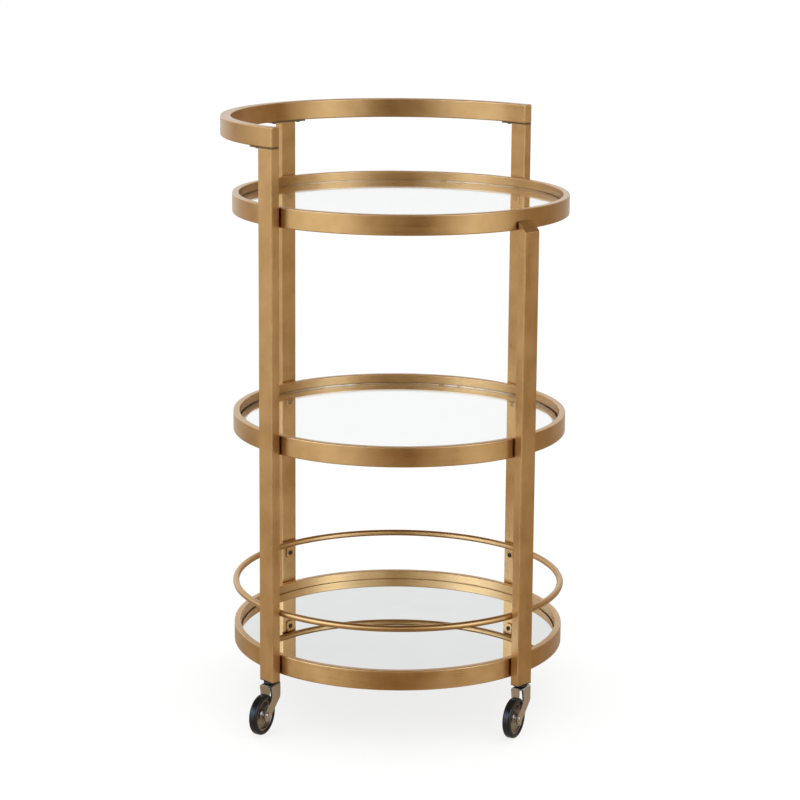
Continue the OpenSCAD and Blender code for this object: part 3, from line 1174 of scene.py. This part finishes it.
@dataclass
class Shelf(SubAssembly):
    """One tier: its ring, the ledge inside it, the panel and the pads that the panel rests on."""

    tier: str
    panel_node: str
    panel_finish: Finish
    ring_depth: float = 10 * MM
    ring_corner: float = 1.5 * MM
    ledge_corner: float = 0.3 * MM
    panel_bevel: float = 0.6 * MM
    panel_soft: float = 0.25 * MM
    pad_radius: float = 4 * MM
    pad_count: int = 8

    def build(self) -> None:
        """Makes the tier's pieces."""
        self._hoops()
        self._panel()
        self._pads()

    def _hoops(self) -> None:
        """Makes the ring and its ledge."""
        depth = self.ring_depth
        for kind, name, corner in (
            ("ring", f"brass_ring_{self.tier}", self.ring_corner),
            ("ledge", f"ledge_{self.tier}", self.ledge_corner),
        ):
            node = f"{self.tier}_{kind}"
            low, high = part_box(node)
            self.shop.hoop(name, rectangle(depth, high.z - low.z, corner), depth, ROUND_BRASS, node)

    def _panel(self) -> None:
        """Makes the panel, with ground edges."""
        low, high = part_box(self.panel_node)
        radius, bevel, soft = high.x, self.panel_bevel, self.panel_soft
        outline = rounded_outline(
            [
                (0, low.z, 0), (radius - bevel, low.z, soft), (radius, low.z + bevel, soft),
                (radius, high.z - bevel, soft), (radius - bevel, high.z, soft), (0, high.z, 0),
            ],
            closed=False, steps=2, hold=0.1 * MM,
        )
        # Marks the ground rim, which the glass finish darkens with painted shade of the gap at the ring.
        rim = [1.0 if x > radius - bevel + soft and low.z < z < high.z else 0.0 for x, z in outline.points]
        panel = turned(f"panel_{self.tier}", Outline(outline.points, tuple(rim), False), Matrix.Identity(4), AROUND)
        self.shop.hand_over(panel, "frame", self.panel_finish, self.panel_node)

    def _pads(self) -> None:
        """Makes the pads under the panel."""
        low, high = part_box(f"{self.tier}_pads")
        panel_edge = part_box(self.panel_node)[1].x
        ledge_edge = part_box(f"{self.tier}_ledge")[1].x - self.ring_depth
        thick, radius = high.z - low.z, self.pad_radius
        outline = rounded_outline(
            [(0, 0, 0), (radius, 0, 0.2 * MM), (radius, thick, 0.5 * MM), (0, thick, 0)], closed=False, hold=0.1 * MM
        )
        pad = turned("pad_pattern", outline, Matrix.Identity(4), 24)
        ring_radius = (panel_edge + ledge_edge) / 2
        points = [polar(ring_radius, (k + 0.5) * 360 / self.pad_count, low.z) for k in range(self.pad_count)]
        self.shop.set_out(f"bumpers_{self.tier}", pad, points, CLEAR_PAD, f"{self.tier}_pads")


@dataclass
class Posts(SubAssembly):
    """The four posts: three run up to the handle, and the short one ends in a slant."""

    width: float = 30 * MM
    depth: float = 15 * MM
    corner: float = 1.5 * MM
    end_round: float = 0.5 * MM
    gap: float = 2 * MM

    def radius(self) -> float:
        """The distance of the posts' middles from the cart's axis."""
        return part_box("top_ring")[1].x + self.gap + self.depth / 2

    def build(self) -> None:
        """Makes the four posts."""
        for corner in Corner:
            node = f"post_{corner.label}"
            low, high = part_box(node)
            slanted = corner is Corner.FRONT_RIGHT
            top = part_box("short_post_cap")[1].z if slanted else high.z
            post = self._post(f"brass_{node}", corner, low.z, top, slanted)
            covered = (node, "short_post_cap") if slanted else (node,)
            self.shop.hand_over(post, "frame", UPRIGHT_BRASS, *covered)

    def _post(self, name: str, corner: Corner, low: float, top: float, slanted: bool) -> bpy.types.Object:
        """Makes one post.

        Args:
            name: The object's name.
            corner: Where it stands.
            low: The height of its foot.
            top: The height of its top, or of the upper edge of its slant.
            slanted: Whether the top slants down outwards.

        Returns:
            The post.
        """
        bar = Bar(self.depth, self.width, self.corner, self.end_round)
        length, middle = top - low, self.radius()
        turn = corner.turn

        def carry(along: float, across: float, up: float) -> Vector:
            """Takes a point of the bar to its place on the post."""
            drop = (across + self.depth / 2) * along / length if slanted else 0.0
            return turn @ Vector((middle + across, up, low + along - drop))

        return bar.build(name, length, 16, carry)


@dataclass
class PushHandle(SubAssembly):
    """The half-round handle, the straps under it and the screws that hold them."""

    width: float = 16 * MM
    corner: float = 1.8 * MM
    end_round: float = 1.6 * MM
    middle: float = 135.0
    post_width: float = 30 * MM
    strap_width: float = 15 * MM
    strap_reach: float = 20 * MM
    strap_corner: float = 0.35 * MM
    spans: int = 160

    def build(self) -> None:
        """Makes the handle, its straps and their screws."""
        low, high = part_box("handle_rail")
        radius = -low.x - self.width / 2
        half = math.degrees(math.atan(self.post_width / 2 / radius))
        rail = Bar(self.width, high.z - low.z, self.corner, self.end_round)
        start, end = self.middle - 90 - half, self.middle + 90 + half
        handle = self._bent("brass_handle", rail, radius, (low.z + high.z) / 2, start, end)
        # The handle's brass is a little deeper than the rings' as painted shade.
        self.shop.hand_over(handle, "frame", HANDLE_BRASS_IN_PAINTED_SHADE, "handle_rail", "handle_end_caps")
        self._straps(radius, half)
        self._screws(radius)

    def _bent(self, name: str, bar: Bar, radius: float, height: float, start: float, end: float) -> bpy.types.Object:
        """Makes a bar bent round the cart's axis.

        Args:
            name: The object's name.
            bar: Its section.
            radius: The radius of its middle.
            height: The height of its middle.
            start: The angle where it starts, in degrees.
            end: The angle where it ends, in degrees.

        Returns:
            The bent bar.
        """
        def carry(along: float, across: float, up: float) -> Vector:
            """Takes a point of the bar to its place on the bend."""
            return polar(radius + across, start + math.degrees(along / radius), height + up)

        length = math.radians(end - start) * radius
        return bar.build(name, length, max(4, round(self.spans * (end - start) / 180)), carry)

    def _straps(self, radius: float, half: float) -> None:
        """Makes the straps under the handle at the three tall posts, coloured dark brown as painted shade of the handle
        above them.

        Args:
            radius: The radius of the handle's middle.
            half: The angle that half a post takes up, in degrees.
        """
        reach = math.degrees((self.post_width / 2 + self.strap_reach) / radius)
        for node, middle, before, after in (
            ("strap_front_left", self.middle + 90, reach, half),
            ("strap_back_left", self.middle, reach, reach),
            ("strap_back_right", self.middle - 90, half, reach),
        ):
            low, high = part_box(node)
            start, end = middle - before, middle + after
            plate = Bar(self.strap_width, high.z - low.z, self.strap_corner, self.strap_corner)
            strap = self._bent(f"black_{node}", plate, radius, (low.z + high.z) / 2, start, end)
            self.shop.hand_over(strap, "frame", STRAP_PAINTED_SHADE, node)

    def _screws(self, radius: float) -> None:
        """Makes the screws that go up through the straps.

        Args:
            radius: The radius of the handle's middle.
        """
        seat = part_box("strap_back_left")[0].z
        beside = math.degrees((self.post_width / 2 + self.strap_reach / 2) / radius)
        middle = self.middle
        angles = (middle + 90 - beside, middle + beside, middle - beside, middle - 90 + beside)
        points = [polar(radius, angle, seat) for angle in angles]
        upwards = Matrix.Rotation(math.radians(-90), 4, "Y")
        Fastening(self.shop).set_out("strap_screws", points, upwards, "handle_screws")


@dataclass
class Fastening:
    """A socket screw with a domed head."""

    shop: Shop
    head_radius: float = 3.8 * MM
    head_height: float = 2.2 * MM
    shank_radius: float = 2 * MM
    shank_length: float = 9 * MM
    socket_flat: float = 1.25 * MM
    socket_depth: float = 1.3 * MM
    around: int = 24

    def _screw(self, turn: Matrix) -> bpy.types.Object:
        """Makes the pattern screw, with its head at the origin and its shank along +X, then turns it.

        Args:
            turn: The turn.

        Returns:
            The screw.
        """
        rim = self.head_height * 0.4
        ball = (self.head_radius**2 + (self.head_height - rim) ** 2) / (2 * (self.head_height - rim))
        tip = 0.6 * MM
        soft = 0.2 * MM
        stations = [
            (self.shank_length, self.shank_radius - tip), (self.shank_length - tip, self.shank_radius),
            (0.0, self.shank_radius), (0.0, self.head_radius - soft), (-soft, self.head_radius),
            (-rim, self.head_radius),
        ]
        for share in (0.92, 0.8, 0.65, 0.5):
            r = self.head_radius * share
            stations.append((-rim - (math.sqrt(ball**2 - r**2) - ball + self.head_height - rim), r))
        steps = range(self.around)
        loops = [[self._on_ring(x, r, k) for k in steps] for x, r in stations]
        face = stations[-1][0] - 0.08 * MM
        for x, scale in ((face, 1.12), (face + 0.12 * MM, 1.0), (face + self.socket_depth, 1.0)):
            loops.append([self._on_hexagon(x, scale, k) for k in steps])
        head_edge, socket_edge = 5, len(stations)
        worn = [[1.0 if i in (head_edge, socket_edge) else 0.0] * self.around for i in range(len(loops))]
        return lofted("screw_pattern", [[turn @ p for p in loop] for loop in loops], worn)

    def _on_ring(self, x: float, radius: float, k: int) -> Vector:
        """A point of a round loop of the screw."""
        angle = 2 * math.pi * k / self.around
        return Vector((x, radius * math.cos(angle), radius * math.sin(angle)))

    def _on_hexagon(self, x: float, scale: float, k: int) -> Vector:
        """A point of a six-sided loop of the screw's socket.

        Args:
            x: Its distance along the screw.
            scale: The loop's size as a share of the socket's.
            k: The step round the loop.

        Returns:
            The point.
        """
        angle = 2 * math.pi * k / self.around
        within = angle % (math.pi / 3) - math.pi / 6
        radius = self.socket_flat * scale / math.cos(within)
        return Vector((x, radius * math.cos(angle), radius * math.sin(angle)))

    def set_out(self, name: str, points: Sequence[Vector], turn: Matrix, node: str) -> None:
        """Puts a screw at each point.

        Args:
            name: The finished object's name.
            points: Where the screws' heads seat.
            turn: The turn of each screw before it faces outwards.
            node: The CAD node that they replace.
        """
        self.shop.set_out(name, self._screw(turn), points, BLACK_STEEL, node)


@dataclass
class Tabs(SubAssembly):
    """The tabs that join a ring or the guard rail to the posts, with a screw through each."""

    group: str
    posts: Posts
    width: float = 13 * MM
    thickness: float = 3 * MM
    corner: float = 3 * MM
    edge_round: float = 0.4 * MM
    behind_ring: float = 1.9 * MM

    def build(self) -> None:
        """Makes the four tabs and their four screws."""
        low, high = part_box(f"{self.group}_tabs")
        inner = self.posts.radius() - self.posts.depth / 2 - self.thickness
        feet = [polar(inner, corner.value, low.z) for corner in Corner]
        pattern = self._pattern(high.z - low.z)
        self.shop.set_out(f"brass_tabs_{self.group}", pattern, feet, UPRIGHT_BRASS, f"{self.group}_tabs")
        screw_low, screw_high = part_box(f"{self.group}_screws")
        level = (screw_low.z + screw_high.z) / 2
        points = [polar(inner, corner.value, level) for corner in Corner]
        facing = Matrix.Identity(4)
        Fastening(self.shop).set_out(f"socket_screws_{self.group}", points, facing, f"{self.group}_screws")

    def _ring_cut(self) -> float:
        """How far above the tab's foot the ring, which takes a part of its thickness, starts.

        Returns:
            The height, which is endless where there is no ring.
        """
        if self.group == "guard":
            return math.inf
        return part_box(f"{self.group}_ring")[0].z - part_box(f"{self.group}_tabs")[0].z

    def _pattern(self, height: float) -> bpy.types.Object:
        """Makes the pattern tab, standing on the origin with its thickness along +X.

        Args:
            height: The tab's height.

        Returns:
            The tab.
        """
        r, soft = self.corner, self.edge_round
        cut, thinner, step = self._ring_cut(), self.thickness - self.behind_ring, 0.02 * MM
        levels = [(0.0, soft), (soft * 0.3, soft * 0.3), (soft, 0.0)]
        levels += [(r * (1 - math.cos(math.pi / 2 * k / 6)), 0.0) for k in range(1, 7)]
        levels.sort()
        levels += [(z, 0.0) for z in (cut - step, cut + step) if z < height]
        levels += [(height - soft, 0.0), (height, soft)]
        loops, exposed = [], []
        for z, inset in levels:
            fall = max(0.0, 1 - z / r)
            half = self.width / 2 - r + r * math.sqrt(max(0.0, 1 - fall**2)) - inset
            near = thinner if z > cut else 0.0
            thick = self.thickness - near
            section = rectangle(thick - inset, max(2 * half, 1.2 * MM), min(soft, thick / 4))
            loops.append([Vector(((self.thickness + near) / 2 + x, y, z)) for x, y in section.points])
            exposed.append(list(section.exposed))
        return lofted("tab_pattern", loops, exposed)


@dataclass
class GuardRail(SubAssembly):
    """The round bar that keeps bottles on the bottom tier."""

    steps: int = 28

    def build(self) -> None:
        """Makes the rail."""
        low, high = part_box("guard_rail")
        radius = (high.z - low.z) / 2
        self.shop.hoop("brass_guard_rail", circle(radius, self.steps), 2 * radius, ROUND_BRASS, "guard_rail")


@dataclass
class Caster(SubAssembly):
    """One swivel caster: fork, axle, wheel hub and tyre."""

    corner: Corner
    post_radius: float
    heading: float = -116.0
    trail: float = 24 * MM
    tyre_width: float = 13 * MM
    tyre_depth: float = 6.5 * MM
    tyre_round: float = 4 * MM
    plate: float = 2.5 * MM
    side_gap: float = 1.2 * MM
    end_radius: float = 9.5 * MM
    fork_length: float = 28 * MM
    leg_straight: float = 20 * MM
    leg_waist: float = 4 * MM
    axle_radius: float = 2.5 * MM
    rivet_radius: float = 5 * MM
    rivet_height: float = 1.8 * MM

    def __post_init__(self) -> None:
        """Reads the wheel's and the fork's heights from the frame."""
        self.wheel_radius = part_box(f"tyre_{self.corner.label}")[1].z / 2
        self.fork_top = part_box(f"fork_{self.corner.label}")[1].z
        self.inner_half = self.tyre_width / 2 + self.side_gap
        self.outer_half = self.inner_half + self.plate

    @property
    def swivel(self) -> Matrix:
        """The caster's own frame: +Z up its stem, +X the way that the wheel trails."""
        foot = polar(self.post_radius, self.corner.value, 0.0)
        return Matrix.Translation(foot) @ Matrix.Rotation(math.radians(self.heading), 4, "Z")

    @property
    def axle(self) -> Matrix:
        """The wheel's own frame: +Z along the axle."""
        to_axle = Matrix.Translation((self.trail, 0, self.wheel_radius))
        return self.swivel @ to_axle @ Matrix.Rotation(math.radians(90), 4, "X")

    def build(self) -> None:
        """Makes the caster's moving pieces."""
        label = self.corner.label
        for piece, body, finish, node in (
            (self._fork(), "caster", NICKEL, "fork"),
            (self._axle_pin(), "caster", NICKEL, "axle"),
            (self._hub(), "wheel", HUB_METAL, "hub"),
            (self._tyre(), "wheel", TYRE_RUBBER, "tyre"),
        ):
            self.shop.hand_over(piece, f"{body}_{label}", finish, f"{node}_{label}")

    def _leg_edges(self, z: float) -> tuple[float, float]:
        """The back and front edges of a leg at a height, seen from the side.

        Args:
            z: The height.

        Returns:
            The two distances along the trail.
        """
        knee = self.fork_top - self.leg_straight
        sweep = math.atan2(knee - self.wheel_radius, self.trail)
        neck = self.end_radius - 0.3 * MM
        off = (neck * math.sin(sweep), neck * math.cos(sweep))
        half = self.fork_length / 2
        x, z_axle = self.trail, self.wheel_radius
        front = [(half, self.fork_top), (half - self.leg_waist, knee), (x + off[0], z_axle + off[1])]
        back = [(-half, self.fork_top), (-half, knee - self.leg_waist), (x - off[0], z_axle - off[1])]
        edges = []
        for side, line in ((-1, back), (1, front)):
            x = None
            for (x1, z1), (x2, z2) in zip(line, line[1:]):
                if z2 <= z <= z1:
                    x = x1 + (x2 - x1) * (z1 - z) / (z1 - z2)
            rise = z - self.wheel_radius
            round_end = self.trail + side * math.sqrt(max(0.0, self.end_radius**2 - rise**2))
            if x is None:
                x = round_end
            elif abs(rise) < self.end_radius:
                x = max(x, round_end) if side > 0 else min(x, round_end)
            edges.append(x)
        return edges[0], edges[1]

    def _soft_leg_edges(self, z: float) -> tuple[float, float]:
        """The leg's edges with the bends eased, except at the round end.

        Args:
            z: The height.

        Returns:
            The two distances along the trail.
        """
        ease = min(2.5 * MM, max(0.0, (z - self.wheel_radius - self.end_radius * 0.6) * 0.5), self.fork_top - z)
        taken = [self._leg_edges(z + ease * k / 3) for k in range(-3, 4)]
        return sum(t[0] for t in taken) / len(taken), sum(t[1] for t in taken) / len(taken)

    def _fork(self) -> bpy.types.Object:
        """Makes the fork: a plate bent down on both sides into legs that end round.

        Returns:
            The fork.
        """
        bend = self.plate + 1 * MM
        foot = self.wheel_radius - self.end_radius
        round_steps, straight_steps, bend_steps = 24, 18, 8
        drops = [foot + self.end_radius * (1 - math.cos(math.pi * k / round_steps)) for k in range(round_steps)]
        drops = [z for z in drops if z < self.wheel_radius + self.end_radius * 0.98]
        shoulder = self.fork_top - bend
        rise = drops[-1]
        drops += [rise + (shoulder - rise) * k / straight_steps for k in range(1, straight_steps + 1)]
        rows = [(-1.0, z, 0.0) for z in drops]
        rows += [(-1.0, shoulder, 90.0 * k / bend_steps) for k in range(1, bend_steps + 1)]
        side = rows + [(1.0, z, angle) for _, z, angle in reversed(rows)]
        across = 12
        skins: list[list[list[Vector]]] = [[], []]
        for sign, z, angle in side:
            turn = math.radians(angle)
            for skin, radius in ((0, bend), (1, bend - self.plate)):
                y = sign * (self.outer_half - bend + radius * math.cos(turn))
                height = z + radius * math.sin(turn) if angle else z
                back, ahead = self._soft_leg_edges(height if angle == 0 else min(height, self.fork_top))
                row = [Vector((back + (ahead - back) * k / across, y, height)) for k in range(across + 1)]
                skins[skin].append(row)
        return self._plate_mesh(skins, across)

    def _plate_mesh(self, skins: list[list[list[Vector]]], across: int) -> bpy.types.Object:
        """Joins a plate's two skins along their rims, and rounds the rims.

        Args:
            skins: The outer and the inner rows of points.
            across: The number of steps in a row.

        Returns:
            The plate.
        """
        rows, width = len(skins[0]), across + 1
        points = [self.swivel @ p for skin in skins for row in skin for p in row]
        inner = rows * width
        faces = []
        for i in range(rows - 1):
            for k in range(across):
                quad = (i * width + k, i * width + k + 1, (i + 1) * width + k + 1, (i + 1) * width + k)
                faces += [quad, tuple(inner + v for v in reversed(quad))]
            for k in (0, across):
                a, b = i * width + k, (i + 1) * width + k
                faces.append((a, b, inner + b, inner + a))
        for i in (0, rows - 1):
            for k in range(across):
                a, b = i * width + k, i * width + k + 1
                faces.append((a, b, inner + b, inner + a))
        rough = closed_mesh("fork_plate", points, [0.0] * len(points), faces)
        bevel = rough.modifiers.new("rims", "BEVEL")
        bevel.width, bevel.segments, bevel.limit_method = 0.45 * MM, 3, "ANGLE"
        bevel.angle_limit = math.radians(50)
        weighted = rough.modifiers.new("flats", "WEIGHTED_NORMAL")
        weighted.keep_sharp = True
        made = evaluated_copy(f"nickel_fork_{self.corner.label}", rough)
        bpy.data.objects.remove(rough)
        return made

    def _axle_pin(self) -> bpy.types.Object:
        """Makes the axle, with a domed rivet head on each end.

        Returns:
            The axle.
        """
        half, r, h = self.outer_half, self.rivet_radius, self.rivet_height
        rim = 0.35 * MM
        dome = [(r * math.cos(a), rim + (h - rim) * math.sin(a)) for a in (math.pi / 2 * k / 6 for k in range(1, 6))]
        right = [(self.axle_radius, half, 0.0), (r - 0.1 * MM, half, 0.0), (r, half + rim, 0.0)]
        right += [(x, half + y, 0.0) for x, y in dome]
        left = [(x, -z, e) for x, z, e in reversed(right)]
        corners = [(0.0, -half - h, 0.0), *left, *right, (0.0, half + h, 0.0)]
        return turned(f"nickel_axle_{self.corner.label}", rounded_outline(corners, closed=False), self.axle, 48)

    def _hub(self) -> bpy.types.Object:
        """Makes the hub: a boss, a thin web and a rim inside the tyre.

        Returns:
            The hub.
        """
        rim = self.wheel_radius - self.tyre_depth
        bore, boss = self.axle_radius + 0.05 * MM, self.axle_radius + 2.5 * MM
        boss_half, web, rim_half = self.inner_half - 0.3 * MM, 1.4 * MM, self.tyre_width / 2 - 1.5 * MM
        step, wall = 1.5 * MM, 2.5 * MM
        upper = [
            (rim, rim_half, 0.3 * MM), (rim - wall, rim_half, 0.6 * MM), (rim - wall - step, web, 0.8 * MM),
            (rim - wall - 4.2 * MM, web, 0.3 * MM), (rim - wall - 4.8 * MM, web + 0.5 * MM, 0.25 * MM),
            (boss + 6.3 * MM, web + 0.5 * MM, 0.25 * MM), (boss + 5.7 * MM, web, 0.3 * MM),
            (boss + 2 * step, web, 0.8 * MM), (boss + step, web + step, 0.5 * MM),
            (boss, boss_half, 0.4 * MM), (bore, boss_half, 0.15 * MM),
        ]
        lower = [(x, -z, r) for x, z, r in reversed(upper)]
        outline = rounded_outline(upper + lower, steps=4, hold=0.08 * MM)
        return turned(f"hub_disc_{self.corner.label}", outline, self.axle)

    def _tyre(self) -> bpy.types.Object:
        """Makes the tyre, with a fine moulding line round its tread.

        Returns:
            The tyre.
        """
        inner, outer, half = self.wheel_radius - self.tyre_depth, self.wheel_radius, self.tyre_width / 2
        line = 0.12 * MM
        seat, sharp = 0.5 * MM, 0.05 * MM
        corners = [
            (inner, -half, seat), (outer, -half, self.tyre_round), (outer, -2 * line, sharp),
            (outer - line, 0.0, sharp), (outer, 2 * line, sharp), (outer, half, self.tyre_round),
            (inner, half, seat),
        ]
        return turned(f"rubber_tyre_{self.corner.label}", rounded_outline(corners, steps=8, hold=0.05 * MM), self.axle)


@dataclass
class CasterMounts(SubAssembly):
    """What holds the casters in the posts: sockets, stems and swivel bearings."""

    post_radius: float
    bearing_radius: float = 9.5 * MM
    stem_radius: float = 4 * MM

    def build(self) -> None:
        """Makes the bearings, and dresses the sockets and stems."""
        low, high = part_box("swivel_bearings")
        outer, bore, height = self.bearing_radius, self.stem_radius, high.z - low.z
        split, groove = height * 0.45, 0.8 * MM
        soft = 0.3 * MM
        outline = rounded_outline(
            [
                (bore, 0, 0.1 * MM), (outer - 1 * MM, 0, soft), (outer, 0.8 * MM, soft), (outer, split, 0.2 * MM),
                (outer - groove, split, 0.1 * MM), (outer - groove, split + 0.4 * MM, 0.1 * MM),
                (outer, split + 0.4 * MM, 0.2 * MM), (outer, height, soft), (bore, height, 0.1 * MM),
            ],
            steps=3, hold=0.05 * MM,
        )
        pattern = turned("bearing_pattern", outline, Matrix.Identity(4), 64)
        points = [polar(self.post_radius, corner.value, low.z) for corner in Corner]
        self.shop.set_out("black_swivel_bearings", pattern, points, BLACK_PLASTIC, "swivel_bearings")
        self.shop.dress_node("caster_sockets", BLACK_PLASTIC)
        self.shop.dress_node("caster_stems", NICKEL)


# ---- Studio ----


@dataclass(frozen=True)
class LightBand:
    """The light at one height round the room, as angles from the camera's side in degrees and the light there."""

    rise: float
    stops: tuple[tuple[float, float], ...]


@dataclass
class Studio:
    """A pale floor, soft light all round with two broad lamps in front, and the camera.

    Lengths are in metres and the camera's angles in radians.
    """

    lens: float = 103.9
    shift: float = -0.1
    distance: float = 3.508
    height: float = 1.2641
    swing: float = 0.0154
    tilt: float = 0.1881
    roll: float = 0.0077
    floor_half: float = 60.0
    floor_own_light: float = 0.79
    bands: tuple[LightBand, ...] = (
        LightBand(-0.34, (
            (-180, 0.5), (-120, 0.46), (-80, 0.5), (-40, 0.52), (-20, 0.42), (4, 0.36),
            (22, 0.4), (40, 0.44), (75, 0.5), (110, 0.36), (140, 0.46), (180, 0.5),
        )),
        LightBand(-0.15, (
            (-180, 0.9), (-150, 0.75), (-120, 0.52), (-98, 0.95), (-78, 0.92), (-58, 1.36), (-36, 1.34), (-22, 0.6),
            (-10, 0.2), (10, 0.12), (22, 0.26), (36, 0.64), (54, 1.2), (74, 0.94), (94, 0.36), (114, 0.46),
            (145, 0.55), (180, 0.9),
        )),
        LightBand(0.0, (
            (-180, 0.95), (-150, 0.9), (-122, 0.5), (-98, 1.0), (-76, 0.98), (-50, 1.6), (-34, 1.2), (-20, 0.55),
            (-8, 0.18), (8, 0.12), (20, 0.28), (34, 0.95), (52, 1.65), (74, 0.8), (96, 0.24), (120, 0.2),
            (150, 0.4), (180, 0.95),
        )),
        LightBand(0.2, (
            (-180, 0.95), (-100, 1.2), (-72, 1.8), (-50, 2.6), (-20, 0.8), (0, 0.3), (20, 0.7), (48, 2.6),
            (74, 0.9), (100, 0.4), (130, 0.6), (180, 0.95),
        )),
        LightBand(0.36, (
            (-180, 0.92), (-110, 1.2), (-60, 3.2), (-30, 2.6), (0, 1.0), (30, 2.3), (50, 3.0), (84, 1.0),
            (110, 0.6), (180, 0.92),
        )),
        LightBand(0.8, ((-180, 0.2), (180, 0.2))),
    )

    def build(self) -> None:
        """Makes the floor, the light and the camera."""
        self._floor()
        self._surround()
        self._camera()
        LOG.info("studio: floor, surround and camera")

    def _floor(self) -> None:
        """Makes the pale floor."""
        half = self.floor_half
        mesh = bpy.data.meshes.new("floor")
        mesh.from_pydata([(-half, -half, 0), (half, -half, 0), (half, half, 0), (-half, half, 0)], [], [(0, 1, 2, 3)])
        floor = mesh_object("floor", mesh)
        paint = bpy.data.materials.new("pale floor")
        paint.use_nodes = True
        shader = paint.node_tree.nodes["Principled BSDF"]
        for key, value in {
            "Base Color": (0.25, 0.25, 0.25, 1.0),
            "Roughness": 1.0,
            "Specular IOR Level": 0.0,
            "Emission Color": (1.0, 1.0, 1.0, 1.0),
            "Emission Strength": self.floor_own_light,
        }.items():
            shader.inputs[key].default_value = value
        mesh.materials.append(paint)
        floor.visible_glossy = False
        floor.visible_transmission = False

    def _band(self, bench: Bench, at: Socket, stops: Sequence[tuple[float, float]]) -> Socket:
        """Makes a band of light that changes round the room.

        Args:
            bench: The world's bench.
            at: The direction as a share of a full turn.
            stops: Angles from the camera's side, in degrees, and the light there.

        Returns:
            The band's colour.
        """
        ramp = bench.add("ShaderNodeValToRGB", {"Fac": at})
        ramp.color_ramp.interpolation = "EASE"
        for index, (angle, light) in enumerate(stops):
            share = angle / 360 + 0.5
            stop = ramp.color_ramp.elements[index] if index < 2 else ramp.color_ramp.elements.new(share)
            stop.position = share
            # The dark sides of the room are warm, and its lamps a little cool.
            dusk, lamp = (1 - min(light, 1.0)) ** 2, max(light - 1, 0.0)
            green, blue = 1 - 0.68 * dusk + 0.12 * lamp, max(0.1, 1 - 1.4 * dusk) + 0.35 * lamp
            stop.color = (light, light * green, light * blue, 1.0)
        return ramp.outputs["Color"]

    def _surround(self) -> None:
        """Makes the soft room: even light, and a studio's bright and dark sides for gloss to show."""
        world = bpy.data.worlds.new("studio")
        bpy.context.scene.world = world
        world.use_nodes = True
        world.node_tree.nodes.clear()
        world.cycles.sampling_method = "NONE"
        bench = Bench(world.node_tree)
        way = bench.add("ShaderNodeTexCoord").outputs["Generated"]
        axes = bench.axes(way)
        turn = bench.maths("ARCTAN2", axes["X"], bench.maths("MULTIPLY", axes["Y"], -1.0))
        share = bench.maths("ADD", bench.maths("DIVIDE", turn, 2 * math.pi), 0.5)
        seen = self._band(bench, share, self.bands[0].stops)
        for under, band in zip(self.bands, self.bands[1:]):
            rise = bench.spread(axes["Z"], 0.0, 1.0, under.rise, band.rise)
            seen = bench.blend(rise, seen, self._band(bench, share, band.stops))
        gloss = bench.maths("GREATER_THAN", bench.add("ShaderNodeLightPath").outputs["Glossy Depth"], 0.5)
        colour = bench.blend(gloss, (1.0, 1.0, 1.0), seen)
        light = bench.add("ShaderNodeBackground", {"Color": colour, "Strength": 1.0})
        bench.add("ShaderNodeOutputWorld", {"Surface": light.outputs["Background"]})
        scene = bpy.context.scene
        scene.view_settings.view_transform = "Standard"
        scene.view_settings.look = "None"

    def _camera(self) -> None:
        """Makes the camera."""
        data = bpy.data.cameras.new("camera")
        data.lens, data.shift_y, data.clip_end = self.lens, self.shift, 400.0
        camera = bpy.data.objects.new("camera", data)
        bpy.context.scene.collection.objects.link(camera)
        camera.matrix_world = (
            Matrix.Rotation(self.swing, 4, "Z")
            @ Matrix.Translation((0, -self.distance, self.height))
            @ Matrix.Rotation(math.pi / 2 - self.tilt, 4, "X")
            @ Matrix.Rotation(self.roll, 4, "Z")
        )
        bpy.context.scene.camera = camera


def main() -> None:
    """Builds the cart, sub-assembly by sub-assembly, and the studio round it."""
    logging.basicConfig(level=logging.INFO, format="%(name)s: %(message)s")
    shop = Shop()
    posts = Posts(shop)
    pieces: list[SubAssembly] = [
        Shelf(shop, "top", "top_glass", GLASS),
        Shelf(shop, "middle", "middle_glass", GLASS),
        Shelf(shop, "bottom", "bottom_mirror", MIRROR),
        posts,
        PushHandle(shop),
        *(Tabs(shop, group, posts) for group in ("top", "middle", "bottom", "guard")),
        GuardRail(shop),
        CasterMounts(shop, posts.radius()),
        *(Caster(shop, corner, posts.radius()) for corner in Corner),
    ]
    for piece in pieces:
        piece.build()
    Studio().build()


if __name__ == "__main__":
    main()
